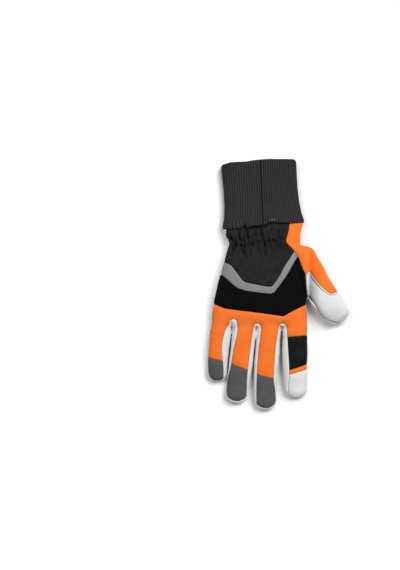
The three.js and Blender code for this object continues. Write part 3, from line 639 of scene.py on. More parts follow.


# Plain woven polyester: an even dull surface whose dye glows. Its 0.4 mm threads are drawn at 1.6 mm to show.
# The deeper orange is painted shade, laid into the valley of the thumb's crease
orange_cloth = woven_cloth("fluorescent polyester, plain woven", "#f27d34", "#ea6e27", shade_color="#e45412")

# across, along, depth in mm of the valley where the thumb turns up beside the hand
CREASE = [[0.53, 0.18, 0.2], [0.528, 0.27, 2.0], [0.527, 0.46, 3.0], [0.516, 0.62, 3.8], [0.506, 0.72, 3.0]]
CREASE_CLIFF, CREASE_FOOT, CREASE_SLOPE, CREASE_CURVE, CREASE_SHADE = 1.3, 0.4, 14, 1.3, 0.24
PUCKER, PUCKER_AT, PUCKER_WIDTH = 0.5, -22, 12
CREASE_FROM, PUCKER_FROM = (8, 13), (6, 12)


def crease_of(points):
    """A valley beside the hand, steep near it with a long slope up to the thumb: fold in mm, and the painted
    shade in it.
    """
    across, along, depth = np.array(CREASE).T
    down = -points[:, 1] / HAND_LENGTH
    side = points[:, 0] - np.interp(down, along, across) * HAND_WIDTH
    valley = step(side, -CREASE_CLIFF, CREASE_FOOT) * (1 - np.clip(side / CREASE_SLOPE, 0, 1))
    depth = np.interp(down, along, depth) * step(points[:, 2], *CREASE_FROM)
    return -depth * valley ** CREASE_CURVE, np.clip(depth * valley * CREASE_SHADE, 0, 1)


def thumb_creases(points):
    x, y, z = points[:, :3].T
    fold, shade = crease_of(points)
    pucker = PUCKER * np.sin(y / 3.1 + x / 8) * bell(y - PUCKER_AT, PUCKER_WIDTH) * step(z, *PUCKER_FROM)
    return fold + pucker, shade


sewn_panel("thumb_panel", thumb_cloth, orange_cloth, puff=0.4, relief=thumb_creases)

# Walls between the fingers
# Strips of white goatskin that join front and back of each finger, meeting in a tight pinched crotch.
# Each is sewn in along the edges of the two fingers' backs, and turns down to the palm leather.
# side, along of the lower finger's edge, the same of the upper one's, along where the crotch ends
FINGER_EDGES = [
    ([[0.7, 0.02], [0.42, 0.14], [0.25, 0.32], [0.3, 0.5], [0.5, 0.66], [0.64, 0.84], [0.7, 1.2]],
     [[-0.64, 0.02], [-0.64, 0.14], [-0.8, 0.32], [-0.84, 0.52], [-0.97, 0.7], [-1.25, 1.2]], 0.93),
    ([[0.74, 0.05], [0.69, 0.2], [0.67, 0.5], [0.72, 0.7], [0.86, 0.86], [0.95, 1.2]],
     [[-0.72, 0.05], [-0.78, 0.34], [-0.78, 0.72], [-0.78, 1.2]], 0.975),
    ([[0.78, 0.05], [0.68, 0.23], [0.68, 0.6], [0.86, 0.78], [1.1, 1.2]],
     [[-0.7, 0.05], [-0.59, 0.26], [-0.5, 0.55], [-0.53, 0.72], [-0.64, 0.88], [-0.68, 1.2]], 0.975),
]
# across, along where the pinched line between two fingers starts, and how far it runs down
CROTCH_PINCHES = [[-0.291, 0.955, 11], [-0.034, 1.01, 4], [0.222, 1.0, 4]]
PINCH_DEPTH, PINCH_WIDTH, PINCH_SHADE, PINCH_FROM = 1.3, 0.55, 0.8, (5, 8)
CROTCH_ARC = [[0.15, 0.012], [0.5, 0], [0.85, 0.012]]

crotches = []
for i, (low, high, top) in enumerate(FINGER_EDGES):
    low_line = [on_finger(i, s, a) for s, a in low][::-1]
    high_line = [on_finger(i + 1, s, a) for s, a in high]
    arc = [
        [low_line[-1][0] + (high_line[0][0] - low_line[-1][0]) * t, -(top + drop) * HAND_LENGTH]
        for t, drop in CROTCH_ARC
    ]
    crotches.append(inside(plan, smooth([*low_line, *arc, *high_line], 4)))
rest = np.minimum.reduce([back, *[-crotch for crotch in crotches]])


def leather(name, light, dark, grain_mm, relief_mm=0.1, roughness=0.55, specular=0.3, shade_color=None):
    """Pebbled grain over soft patches of colour, painted darker in creases as painted shade where a shade
    colour is given.
    """
    material, tree = new_material(name)
    coords = on_surface(tree)
    pebbles = add_node(tree, "ShaderNodeTexVoronoi", {"Vector": coords, "Scale": 1000 / grain_mm}).outputs[0]
    patches = noise(tree, coords, 12, 6.0)
    height = calc(tree, "MULTIPLY_ADD", pebbles, -0.6, patches)
    color = blend_colors(tree, patches, 0.35, 0.65, dark, light)
    finish_material(tree, color, roughness, specular, height, relief_mm, shade_color)
    return material


# Full-grain goatskin, tanned white: satin, with a soft pebble. The 0.7 mm grain is drawn at 1.3 mm to show.
# The grey is painted shade, laid into the leather's crease beside the thumb, its piping groove and the
# pinched crotches
white_leather = leather("white goatskin, full grain", "#dcdbda", "#d4d3d2", 1.3, shade_color="#88888a")


# Each pinched line is sunk in and painted darker as painted shade
def crotch_pinches(points):
    pinch = np.zeros(len(points))
    for across, along, length in CROTCH_PINCHES:
        x, y = (points[:, :2] - on_hand(across, along)).T
        pinch += bell(np.hypot(x, y - np.clip(y, -length, 0)), PINCH_WIDTH)
    pinch *= step(points[:, 2], *PINCH_FROM)
    return -PINCH_DEPTH * pinch, PINCH_SHADE * np.clip(pinch, 0, 1)


for name, crotch in zip(("pinky_ring", "ring_middle", "middle_index"), crotches):
    sewn_panel("fourchette_" + name, least(back, crotch), white_leather,
               relief=crotch_pinches)

# Thumb leather
# White goatskin over the thumb's back, piped along the orange cloth and pinched in beside the hand,
# where it is sewn to the hand and to the thumb's underside.
KNUCKLE_SIDE = [[0.472, 0.43], [0.476, 0.5], [0.479, 0.6], [0.489, 0.7], [0.503, 0.78], [0.52, 0.88]]
PIPING_RISE, PIPING_AT, PIPING_WIDTH = 1.2, 0.9, 0.9
GROOVE_DEPTH, GROOVE_AT, GROOVE_WIDTH, GROOVE_SHADE = 1.4, 2.6, 0.5, 0.75
GROOVE_DOWN, GROOVE_OUT = (-86, -70), (60, 62)
PIPING_LEVELS = (0.4, 0.9, 1.5, 2.1, 2.6, 3.1)
LEATHER_ROLL = 1.3
side_end = [[62, THUMB_BELOW], [FAR, THUMB_BELOW], [FAR, -51.6]]
thumb_side = inside(plan, [*hand_line(KNUCKLE_SIDE), *side_end])


# The groove beside the piping is sunk in and painted darker as painted shade, and so is the crease's valley
def piped_edge(points):
    beside = points[:, BESIDE]
    fold, shade = crease_of(points)
    groove = bell(beside - GROOVE_AT, GROOVE_WIDTH)
    groove *= step(points[:, 1], *GROOVE_DOWN) * step(points[:, 0], *GROOVE_OUT)
    fold += LEATHER_ROLL * (1 - np.clip((beside - SEAM_GAP) / ROLL_WIDTH, 0, 1)) ** 2
    fold += PIPING_RISE * bell(beside - PIPING_AT, PIPING_WIDTH) - GROOVE_DEPTH * groove
    return fold, np.clip(shade + GROOVE_SHADE * groove, 0, 1)


sewn_panel("thumb_leather", least(rest, thumb_side), white_leather, roll=LEATHER_ROLL,
           relief=piped_edge, beside=-thumb_cloth, levels=PIPING_LEVELS)

# Palm leather
# One piece of white goatskin under hand and fingers, with the thumb's underside set in at its root.
# It turns up round the fingers and the thumb, and shows from above as a thin white line.
THUMB_BASE = [
    [0.43, 0.27], [0.41, 0.36], [0.415, 0.46], [0.44, 0.56], [0.478, 0.66], [0.497, 0.74], [0.515, 0.82],
]
base_line = hand_line(THUMB_BASE)
base_end = [[THUMB_BESIDE, THUMB_BELOW], [FAR, THUMB_BELOW], [FAR, base_line[0][1]]]
thumb_palm = inside(plan, [*base_line, *base_end])
palm_side = least(-above, -thumb_cloth)
sewn_panel("palm", least(palm_side, -thumb_palm), white_leather)
sewn_panel("thumb_palm_leather", least(palm_side, thumb_palm), white_leather,
           roll=LEATHER_ROLL)

# Wrist cloth
# Charcoal stretch cloth over the back of the wrist. Elastic sewn inside draws it into sharp folds and,
# along the elastic itself, a band of fine crinkles; the valleys of folds and crinkles are painted darker,
# painted shade.
BAND_TOP = [
    [-0.44, 0.33], [-0.367, 0.365], [-0.319, 0.385], [-0.287, 0.41], [-0.203, 0.515], [-0.171, 0.55],
    [-0.118, 0.57], [0.072, 0.605], [0.114, 0.605], [0.141, 0.59], [0.2, 0.51], [0.262, 0.4], [0.326, 0.31],
    [0.4, 0.2],
]
# start across, start along, end across, end along, width in mm, depth in mm
WRIST_FOLDS = [
    [-0.35, 0.06, -0.27, 0.17, 1.5, 1.76], [-0.24, 0.16, -0.3, 0.29, 1.41, 1.09],
    [-0.136, 0.03, -0.113, 0.165, 1.14, 1.67], [0.012, 0.03, 0.037, 0.175, 1.23, 1.84],
    [0.048, 0.17, 0.064, 0.32, 1.23, 1.01], [-0.18, 0.22, -0.155, 0.32, 1.76, 1],
    [0.187, 0.04, 0.213, 0.155, 1.23, 1.26], [0.164, 0.14, 0.184, 0.24, 1.14, 1.26],
    [0.26, 0.15, 0.31, 0.26, 1.32, 0.84], [-0.076, 0.16, -0.1, 0.3, 1.32, 0.84],
    [-0.223, 0.05, -0.2, 0.19, 1.32, 1.09], [0.1, 0.13, 0.115, 0.22, 1.06, 0.92],
    [-0.05, 0.04, -0.04, 0.13, 1.14, 0.68], [0.245, 0.03, 0.235, 0.13, 1.23, 0.76],
]
ELASTIC_ALONG, ELASTIC_WIDTH, ELASTIC_PULL, CRINKLE, GATHER, FOLD_SHADE = 0.18, 6.5, 1.3, 0.8, 2.2, 0.55
FOLD_FADE, TUCK_WIDTH, GATHER_FROM = 4, 2.4, (5, 10)
# How far the cloth tucks in under the cuff's hem in mm, at shares of the cuff's half width
HEM_TUCK = [[-1, 0.4], [-0.62, 0.8], [-0.56, 3.0], [0.02, 3.0], [0.12, 1.2], [0.5, 1.4], [1, 0.5]]
CUFF_WIDTH = 90.5
CUFF_ACROSS = np.array([CUFF_AXIS[1], -CUFF_AXIS[0]])
wrist_left, wrist_right = on_hand(-0.355, 0.035), on_hand(0.442, -0.025)
cuff_start = (wrist_left + wrist_right) / 2
# Rise of the cuff's hem towards its mouth in mm, at shares of its half width
HEM = [[-1.1, 0], [-0.9, -1.2], [-0.7, -0.8], [-0.56, 3.6], [-0.48, -1.2], [-0.3, 0.4], [0.03, 0.4],
       [0.13, 3.0], [0.35, 2.4], [0.65, 0.5], [1.1, 0]]
hem_rise = np.array(HEM).T
hand_back = least(rest, -thumb_side)
band_top = beyond(BAND_TOP)


def wrist_gathers(points):
    place = points[:, :2]
    fold = np.zeros(len(points))
    for row in WRIST_FOLDS:
        a, b = on_hand(*row[:2]), on_hand(*row[2:4])
        width, depth = row[4:]
        run = (b - a) / np.linalg.norm(b - a)
        along = (place - a) @ run
        side = (place - a) @ [-run[1], run[0]]
        length = np.linalg.norm(b - a)
        ends = step(along, -3, 3) * (1 - step(along, length - FOLD_FADE, length + FOLD_FADE))
        # A valley between two low shoulders
        fold += depth * ends * (0.5 * bell(abs(side) - 2.3 * width, 1.1 * width) - bell(side, width))
    from_elastic = place[:, 1] + ELASTIC_ALONG * HAND_LENGTH
    x, y = place.T
    crinkles = np.sin(x / 0.62 + 2.2 * np.sin(y / 2.1) + np.sin(x / 5))
    crinkles += 0.8 * np.sin(y / 0.7 + 1.6 * np.sin(x / 3.3))
    gathers = np.abs(np.sin(x / 2.9 + 0.9 * np.sin(y / 5.3) + 0.7 * np.sin(x / 1.7 + y / 2.3))) - 0.6
    fold += CRINKLE * bell(from_elastic, ELASTIC_WIDTH * 0.75) * crinkles
    fold += GATHER * bell(from_elastic - 1, ELASTIC_WIDTH * 2) * gathers
    # Painted shade: the valleys of folds and crinkles are darkened
    shade = -FOLD_SHADE * fold
    side = (place - cuff_start) @ CUFF_ACROSS / (CUFF_WIDTH / 2)
    below_hem = np.interp(side, *hem_rise) - (place - cuff_start) @ CUFF_AXIS
    tuck = np.interp(side, *np.array(HEM_TUCK).T) * bell(below_hem - 0.6, TUCK_WIDTH)
    fold -= ELASTIC_PULL * bell(from_elastic, ELASTIC_WIDTH) + tuck
    free = step(points[:, EDGE], 0, FOLD_FADE) * step(points[:, 2], *GATHER_FROM)
    return fold * free, np.clip(shade * free, 0, 1)


# Polyester stretch jersey: dull, with next to no gloss. Its fine knit is drawn at 1.3 mm to show.
# The near black is painted shade in the valleys of the folds
charcoal_cloth = woven_cloth("charcoal stretch jersey, knitted", "#2c2c2c", "#1b1b1b", pitch_mm=1.3,
                             blotch_mm=6, specular=0.06, shade_color="#0c0c0c")
sewn_panel("wrist_panel", least(hand_back, -band_top), charcoal_cloth, relief=wrist_gathers)

# Reflective band
# Grey tape coated with glass beads, in a wide V across the back of the hand.
# Both of its edges are sewn down flat, so it hardly rises between them.
BAND_BOTTOM = [
    [-0.47, 0.44], [-0.399, 0.49], [-0.351, 0.525], [-0.256, 0.605], [-0.203, 0.63], [-0.097, 0.655],
    [0.093, 0.675], [0.135, 0.67], [0.167, 0.645], [0.241, 0.55], [0.304, 0.46], [0.357, 0.37], [0.43, 0.25],
]
band_bottom = beyond(BAND_BOTTOM)
# Glass-bead tape: even mid grey with a faint sparkle of its beads, drawn at 0.8 mm to show
band_tape = woven_cloth("glass-bead reflective tape, coated", "#828282", "#777777", pitch_mm=0.8,
                        relief_mm=0.03, roughness=0.5, specular=0.3)
sewn_panel("reflective_band", least(hand_back, least(band_top, -band_bottom)), band_tape,
           puff=0.15, roll=0.3)

# Knuckle cloth
# Black neoprene faced with jersey, soft and full over the knuckles.
# It is sewn in between the band and the orange cloth of the fingers.
KNUCKLE = [
    [-0.56, 0.76], [-0.48, 0.78], [-0.414, 0.805], [-0.33, 0.83], [0.008, 0.87], [0.23, 0.9], [0.262, 0.895],
    [0.326, 0.86], [0.41, 0.82], [0.495, 0.785], [0.57, 0.755],
]
knuckles = beyond(KNUCKLE)
# Jersey on foam rubber: deep black that swallows light, with a faint knit
black_cloth = woven_cloth("black neoprene, jersey faced", "#101010", "#0a0a0a", specular=0.04, blotch_mm=9)
sewn_panel("knuckle_panel", least(hand_back, least(band_bottom, -knuckles)), black_cloth,
           puff=0.5)

# Finger backs
# The same orange cloth as on the thumb, in one piece over all four fingers, and a strip on the index finger.
# Grey coated cloth caps three fingertips, black moulded rubber guards the index finger, leather tips it.
CROSS_SEAMS = {
    "pinky_tip": (0, 0.59, 0.655, 0.02), "ring_tip": (1, 0.49, 0.57, 0.008),
    "middle_tip": (2, 0.562, 0.627, 0.01),
    "index_patch": (3, 0.16, 0.125), "index_strip": (3, 0.64, 0.53), "index_tip": (3, 0.7, 0.6),
}
ends = {name: past(*seam) for name, seam in CROSS_SEAMS.items()}
finger_back = least(hand_back, knuckles)
caps = ("pinky_tip", "ring_tip", "middle_tip")
orange_part = np.minimum.reduce([finger_back, *[-ends[name] for name in (*caps, "index_patch")]])
sewn_panel("finger_back_panel", orange_part, orange_cloth, puff=0.45)
sewn_panel("index_strip", least(finger_back, least(ends["index_strip"], -ends["index_tip"])), orange_cloth)

# Coated cloth: an even mid grey, the coating filling most of the weave
grey_cloth = woven_cloth("grey coated polyester, woven", "#595959", "#4d4d4d", specular=0.1, blotch_mm=9)
for name in caps:
    sewn_panel(name, least(finger_back, ends[name]), grey_cloth, puff=0.4)

# Moulded synthetic rubber: near black with a low even gloss and a fine moulded grain
patch_rubber = leather("black rubber, moulded", "#171717", "#101010", 1.8, 0.06, roughness=0.5, specular=0.1)
sewn_panel("index_patch", least(finger_back, least(ends["index_patch"], -ends["index_strip"])), patch_rubber)
sewn_panel("index_tip", least(finger_back, ends["index_tip"]), white_leather, puff=0.5)

# Palm pads
# A second layer of goatskin over thin foam, laid on the palm where the saw's handle bears.
# Two rows of stitches hold each pad, one along its edge and one a little inside.
KNUCKLE_PAD = [
    [0.36, 0.86], [0.35, 0.8], [0.33, 0.79], [-0.34, 0.6], [-0.37, 0.61], [-0.4, 0.74], [-0.385, 0.82],
    [-0.33, 0.88], [-0.12, 0.955], [0.06, 0.96], [0.16, 0.95], [0.22, 0.91], [0.345, 0.875],
]
THUMB_PAD = [
    [0.34, 0.7], [0.33, 0.52], [0.3, 0.31], [0.265, 0.19], [0.235, 0.175], [0.19, 0.2], [-0.03, 0.42],
    [-0.035, 0.46], [0.06, 0.64], [0.12, 0.68], [0.3, 0.73],
]
HEEL_PAD = [
    [-0.06, 0.62], [-0.07, 0.59], [-0.14, 0.47], [-0.14, 0.43], [0.09, 0.185], [0.09, 0.16], [-0.25, 0.145],
    [-0.285, 0.17], [-0.33, 0.4], [-0.345, 0.5], [-0.31, 0.53],
]
PAD_CLEARANCE, PAD_THICKNESS, PAD_FILL, PAD_LOWEST, PAD_INSIDE = 0.3, 1.5, 0.4, 0.03, 0.1
ROW_PLACES, ROW_DEPTH, ROW_WIDTH = (1.1, 3.4), 0.4, 0.55
PAD_LEVELS = (0.5, *ROW_PLACES, 2.2)
STITCH_PITCH, STITCH_LENGTH, STITCH_WIDTH = 2.9, 1.9, 0.55


def rounded(rows):
    """A closed outline with its corners cut and smoothed."""
    line = on_hand(*np.array(rows).T)
    before, after = np.roll(line, 1, axis=0), np.roll(line, -1, axis=0)
    cut = np.stack([line + 0.25 * (before - line), line + 0.25 * (after - line)], 1).reshape(-1, 2)
    return smooth([*cut, cut[0]], 3)[:-1]


stitch_points, stitch_edges = [], []
below = least(seam_height - skin[:, 2], 6 * -skin_normals[:, 2])
for name, rows in (("knuckle", KNUCKLE_PAD), ("thumb", THUMB_PAD), ("heel", HEEL_PAD)):
    field = least(inside(plan, rounded(rows)), below)
    points, faces = cut_panel(field, 0.0, PAD_LEVELS)
    place, normal, edge = points[:, :3], points[:, 3:EDGE], points[:, EDGE]
    t = np.clip(edge / ROLL_WIDTH, 0, 1)
    groove = sum(bell(edge - row, ROW_WIDTH) for row in ROW_PLACES)
    rise = PAD_CLEARANCE + PAD_THICKNESS * (1 - 0.6 * (1 - t) ** 2) - ROW_DEPTH * groove
    outer = place + normal * rise[:, None]
    outer[:, 2] = np.maximum(outer[:, 2], PAD_LOWEST)
    pad = shell(f"palm_pad_{name}_sewn", outer, place + normal * PAD_INSIDE, faces, white_leather)
    finish_piece(pad, "palm_pad_" + name)
    sides = np.unique(np.sort(sides_of(faces), axis=1), axis=0)
    for row in ROW_PLACES:
        on_row = sides[(edge[sides] == row).all(1)]
        stitch_edges += (on_row + len(stitch_points)).tolist()
    stitch_points += outer.tolist()


def new_tree(name, sizes):
    """A Geometry Nodes tree with one named input for each size, and its inputs."""
    tree = bpy.data.node_groups.new(name, "GeometryNodeTree")
    tree.interface.new_socket("Geometry", in_out="INPUT", socket_type="NodeSocketGeometry")
    for size in sizes:
        tree.interface.new_socket(size, in_out="INPUT", socket_type="NodeSocketFloat")
    tree.interface.new_socket("Geometry", in_out="OUTPUT", socket_type="NodeSocketGeometry")
    return tree, add_node(tree, "NodeGroupInput").outputs


def end_tree(tree, geometry, material):
    real = add_node(tree, "GeometryNodeRealizeInstances", {"Geometry": geometry}).outputs[0]
    done = add_node(tree, "GeometryNodeSetMaterial", {"Geometry": real, "Material": material}).outputs[0]
    add_node(tree, "NodeGroupOutput", {"Geometry": done})


def baked(obj, tree, sizes, name):
    """What the tree makes of an object, as a plain mesh in its stead."""
    modifier = obj.modifiers.new("nodes", "NODES")
    modifier.node_group = tree
    for item in tree.interface.items_tree:
        if item.name in sizes:
            modifier[item.identifier] = sizes[item.name]
    depsgraph = bpy.context.evaluated_depsgraph_get()
    mesh = bpy.data.meshes.new_from_object(obj.evaluated_get(depsgraph), preserve_all_data_layers=True,
                                           depsgraph=depsgraph)
    bpy.data.objects.remove(obj)
    return link(bpy.data.objects.new(name, mesh))


# Bonded nylon thread, twisted: a hard smooth thread; its grey, a little darker than the leather, is painted
# shade of the holes that it sinks into
thread, tree = new_material("white nylon thread, bonded")
twist = threads(tree, on_surface(tree), "DIAGONAL", 0.5)
thread_color = blend_colors(tree, twist, 0.0, 1.0, "#b9b7b3", "#d3d1cd")
finish_material(tree, thread_color, 0.5, 0.3, twist, 0.05)

tree, sizes = new_tree("stitches along a seam", ("Pitch", "Length", "Width"))
curve = add_node(tree, "GeometryNodeMeshToCurve", {"Mesh": sizes["Geometry"]}).outputs[0]
places = add_node(tree, "GeometryNodeCurveToPoints", {"Curve": curve, "Length": sizes["Pitch"]},
                  mode="LENGTH")
turned = add_node(tree, "FunctionNodeAlignRotationToVector", {"Vector": places.outputs["Tangent"]}, axis="Z")
ball = add_node(tree, "GeometryNodeMeshUVSphere", {"Segments": 8, "Rings": 5, "Radius": 0.5})
width, length = sizes["Width"], sizes["Length"]
size = add_node(tree, "ShaderNodeCombineXYZ", {"X": width, "Y": width, "Z": length})
one = add_node(tree, "GeometryNodeTransform", {"Geometry": ball.outputs["Mesh"], "Scale": size.outputs[0]})
row = add_node(tree, "GeometryNodeInstanceOnPoints", {
    "Points": places.outputs["Points"], "Instance": one.outputs[0], "Rotation": turned.outputs[0],
})
end_tree(tree, row.outputs[0], thread)
row_mesh = bpy.data.meshes.new("stitch rows")
row_mesh.from_pydata(((np.array(stitch_points) + FRAME_SHIFT) / 1000).tolist(), stitch_edges, [])
stitches = baked(link(bpy.data.objects.new("stitch rows", row_mesh)), tree, {
    "Pitch": STITCH_PITCH / 1000, "Length": STITCH_LENGTH / 1000, "Width": STITCH_WIDTH / 1000,
}, "pad_stitches")
finish_piece(stitches, None)

# Knit cuff
# One tube of dark rib knit, 66 ribs round, with a seam down its back. Its hem laps over the wrist end of the
# hand and rides up in places, and its corners are soft.
CUFF_LENGTH, CUFF_THICKNESS, HEM_THICKNESS, CUFF_SIDES = 76, 16, 13.5, 64
CUFF_FLOOR, CUFF_MOUTH_BOW, KNIT_WALL, HEM_OVER_HAND = 1.5, 3.2, 2.8, 3.1
TURNED_IN, TURN_WIDTH, CORNER_IN, CORNER_WIDTH = 0.9, 1.6, 0.03, 3.5
RIBS, RIB_POINTS, RIB_DEPTH, RIB_LEAN, RIB_END_PULL, RIB_END_WIDTH = 66, 8, 0.85, 3.0, 0.9, 2.5
SEAM_SIDE, SEAM_DEPTH, SEAM_WIDTH, SNAG_WIDTH, SNAG_HIGHLIGHT, EDGE_SHADE = -0.018, 0.8, 0.75, 0.8, 0.6, 0.7
RINGS_ALONG = np.r_[0, 0.006, np.linspace(0.02, 0.98, 96), 0.994, 1]
HEM_REACH, SPLAY_REACH, MOUTH_FROM, TOP_FROM, STITCH_STEP = 0.16, 0.24, 0.75, (8, 11), 1.6
# along, width, share of the wrist's own section
CUFF_SECTIONS = [
    [0, 1, 1], [0.05, 1, 1], [0.1, 1, 0.72], [0.16, 0.99, 0.48], [0.25, 0.985, 0.28], [0.36, 0.98, 0.12],
    [0.5, 0.98, 0.03], [0.65, 0.98, 0], [1, 1, 0],
]
# Rise of the mouth's edge in mm, at shares of the half width
MOUTH = [[-1.05, 0.2], [-0.9, 1.4], [-0.78, 2.0], [-0.38, 0.1], [-0.14, 0.8], [0.07, 1.1], [0.54, 0.1],
         [0.94, 0.6], [1.05, -0.4]]
# Sideways drift of the ribs at the hem in mm, at shares of the half width
SPLAY = [
    [-1.05, -0.6], [-0.86, 0.4], [-0.72, 4.2], [-0.62, 5.0], [-0.5, 2.6], [-0.38, 0.5], [0, 0], [1.05, 0],
]
# Pulled loops at the hem: share of the half width, along, height
SNAGS = [[0.2, 0.06, 0.9], [0.255, 0.065, 1.1], [0.31, 0.06, 0.9], [0.36, 0.07, 0.7]]


def cuff_ring(along, wide, hem_share, inset):
    """A smooth ring of the cuff, between the wrist's section at the hem and its own towards the mouth."""
    grow = (CUFF_WIDTH / 2 * wide - inset) * CUFF_ACROSS
    middle = cuff_start + CUFF_AXIS * along * CUFF_LENGTH
    tube = section(middle - grow, middle + grow, CUFF_FLOOR + inset, CUFF_THICKNESS - 2 * inset, CUFF_SIDES)
    half = (wrist_right - wrist_left) / 2
    outside = HEM_OVER_HAND - inset
    half = half * (1 + outside / np.linalg.norm(half))
    thick = HEM_THICKNESS + 2 * outside
    hem = section(middle - half, middle + half, WRIST_FLOOR - outside, thick, CUFF_SIDES)
    ring = tube + (hem - tube) * np.clip(hem_share, 0, 1)
    side = side_of(ring)
    ring[:, :2] += (along * along * CUFF_MOUTH_BOW * (1 - side * side))[:, None] * CUFF_AXIS
    return ring


def side_of(ring):
    """Where points lie across the cuff, from -1 at its left edge to 1 at its right."""
    return (ring[:, :2] - cuff_start) @ CUFF_ACROSS / (CUFF_WIDTH / 2)


def even_ring(ring, count):
    """A ring resampled to points at even distances."""
    closed = np.vstack([ring, ring[:1]])
    run = np.r_[0, np.cumsum(np.linalg.norm(np.diff(closed, axis=0), axis=1))]
    at = np.arange(count) / count * run[-1]
    return np.column_stack([np.interp(at, run, closed[:, k]) for k in range(3)])


count = RIBS * RIB_POINTS
curve = smooth(CUFF_SECTIONS, 12)
mouth_rise, splay = np.array(MOUTH).T, np.array(SPLAY).T
rings = []
for outer, steps in ((True, RINGS_ALONG), (False, RINGS_ALONG[::-1][::4])):
    for along in steps:
        wide, hem_share = [np.interp(along, curve[:, 0], curve[:, k]) for k in (1, 2)]
        edge = min(along, 1 - along) * CUFF_LENGTH
        inset = TURNED_IN * (1 - min(edge / TURN_WIDTH, 1)) ** 2 if outer else KNIT_WALL
        corner = CORNER_IN * (1 - min(edge / CORNER_WIDTH, 1)) ** 2
        ring = even_ring(cuff_ring(along, wide - corner, hem_share, inset), count)
        inward = np.cross(np.roll(ring, -1, axis=0) - np.roll(ring, 1, axis=0), [*CUFF_AXIS, 0])
        inward /= np.linalg.norm(inward, axis=1)[:, None]
        side = side_of(ring)
        top = step(ring[:, 2], *TOP_FROM)
        rise = np.interp(side, *hem_rise) * top * (1 - step(along, 0, HEM_REACH))
        rise += np.interp(side, *mouth_rise) * step(along, MOUTH_FROM, 1)
        drift = np.interp(side, *splay) * top * (1 - step(along, 0, SPLAY_REACH))
        drift += RIB_LEAN * along * np.clip(1 - side * side, 0, 1) * top
        ring[:, :2] += rise[:, None] * CUFF_AXIS + drift[:, None] * CUFF_ACROSS
        shade = np.zeros(count)
        if outer:
            # Painted shade darkens the sunk seam and the turned edges at hem and mouth; painted highlight
            # makes the raised pulled loops pale
            seam = bell((side - SEAM_SIDE) * CUFF_WIDTH / 2, SEAM_WIDTH) * top
            shade -= seam + EDGE_SHADE * bell(edge, SNAG_WIDTH)
            sunk = SEAM_DEPTH * seam
            for snag_side, snag_along, height in SNAGS:
                away = np.hypot((side - snag_side) * CUFF_WIDTH / 2, (along - snag_along) * CUFF_LENGTH / 2)
                sunk -= height * bell(away, SNAG_WIDTH) * top
                shade += SNAG_HIGHLIGHT * height * bell(away, SNAG_WIDTH) * top
            ring += inward * sunk[:, None]
        ends = [bell(share * CUFF_LENGTH, RIB_END_WIDTH) for share in (along, 1 - along)]
        rings.append({
            "place": ring, "inward": inward, "shade": shade, "around": np.arange(count) / count,
            "pull": np.tile([*CUFF_AXIS * (RIB_END_PULL * (ends[0] - ends[1])) / 1000, 0], (count, 1)),
            "ribbed": np.full(count, float(outer)), "along_mm": np.full(count, along * CUFF_LENGTH),
        })

# Acrylic and wool rib knit: soft and quite dull. Each rib's crown is painted pale, a painted highlight, and
# the grooves between the ribs near black, painted shade. Its 1.2 mm stitches are little slanted steps along
# each rib, drawn at 1.6 mm to show. The pulled loops are painted pale, a painted highlight.
knit, tree = new_material("charcoal acrylic yarn, rib knitted")
# The rib's crest sets the colour: painted highlight on the crowns, painted shade between them
crest = stored(tree, "crest")
steps = calc(tree, "MULTIPLY_ADD", stored(tree, "along_mm"), 1 / STITCH_STEP, crest)
slant = calc(tree, "SINE", calc(tree, "MULTIPLY", steps, 2 * np.pi))
loops = calc(tree, "MULTIPLY_ADD", slant, 0.5, 0.5)
fuzz = noise(tree, on_surface(tree), 2.5)
worn = noise(tree, on_surface(tree), 18)
share = calc(tree, "MULTIPLY_ADD", loops, 0.15, calc(tree, "MULTIPLY_ADD", fuzz, 0.9, crest))
share = calc(tree, "ADD", stored(tree, "shade"), calc(tree, "MULTIPLY_ADD", worn, 0.4, share))
yarn_color = blend_colors(tree, share, 0.2, 2.0, "#181818", "#3c3c3c")
# The pale grey is painted highlight on the pulled loops
finish_material(tree, yarn_color, 0.95, 0.08, calc(tree, "MULTIPLY_ADD", fuzz, 0.5, loops), 0.15, "#6e6e6e")

tree, sizes = new_tree("knitted ribs", ("Ribs round", "Rib depth"))
named = {}
for name in ("around", "ribbed", "inward", "pull"):
    kind = "FLOAT_VECTOR" if name in ("inward", "pull") else "FLOAT"
    node = add_node(tree, "GeometryNodeInputNamedAttribute", {"Name": name}, data_type=kind)
    named[name] = node.outputs["Attribute"]
turn = calc(tree, "MULTIPLY", calc(tree, "MULTIPLY", named["around"], sizes["Ribs round"]), 2 * np.pi)
crown = calc(tree, "POWER", calc(tree, "MULTIPLY_ADD", calc(tree, "COSINE", turn), 0.5, 0.5), 0.8)
valley = calc(tree, "SUBTRACT", 1.0, crown)
sink = calc(tree, "MULTIPLY", calc(tree, "MULTIPLY", valley, sizes["Rib depth"]), named["ribbed"])
sunk, pulled = [
    add_node(tree, "ShaderNodeVectorMath", {0: named[name], "Scale": share}, operation="SCALE").outputs[0]
    for name, share in (("inward", sink), ("pull", valley))
]
offset = add_node(tree, "ShaderNodeVectorMath", {0: sunk, 1: pulled}, operation="ADD").outputs[0]
moved = add_node(tree, "GeometryNodeSetPosition", {"Geometry": sizes["Geometry"], "Offset": offset})
ribbed = add_node(tree, "GeometryNodeStoreNamedAttribute", {
    "Geometry": moved.outputs[0], "Name": "crest", "Value": crown,
}, data_type="FLOAT", domain="POINT")
end_tree(tree, ribbed.outputs[0], knit)

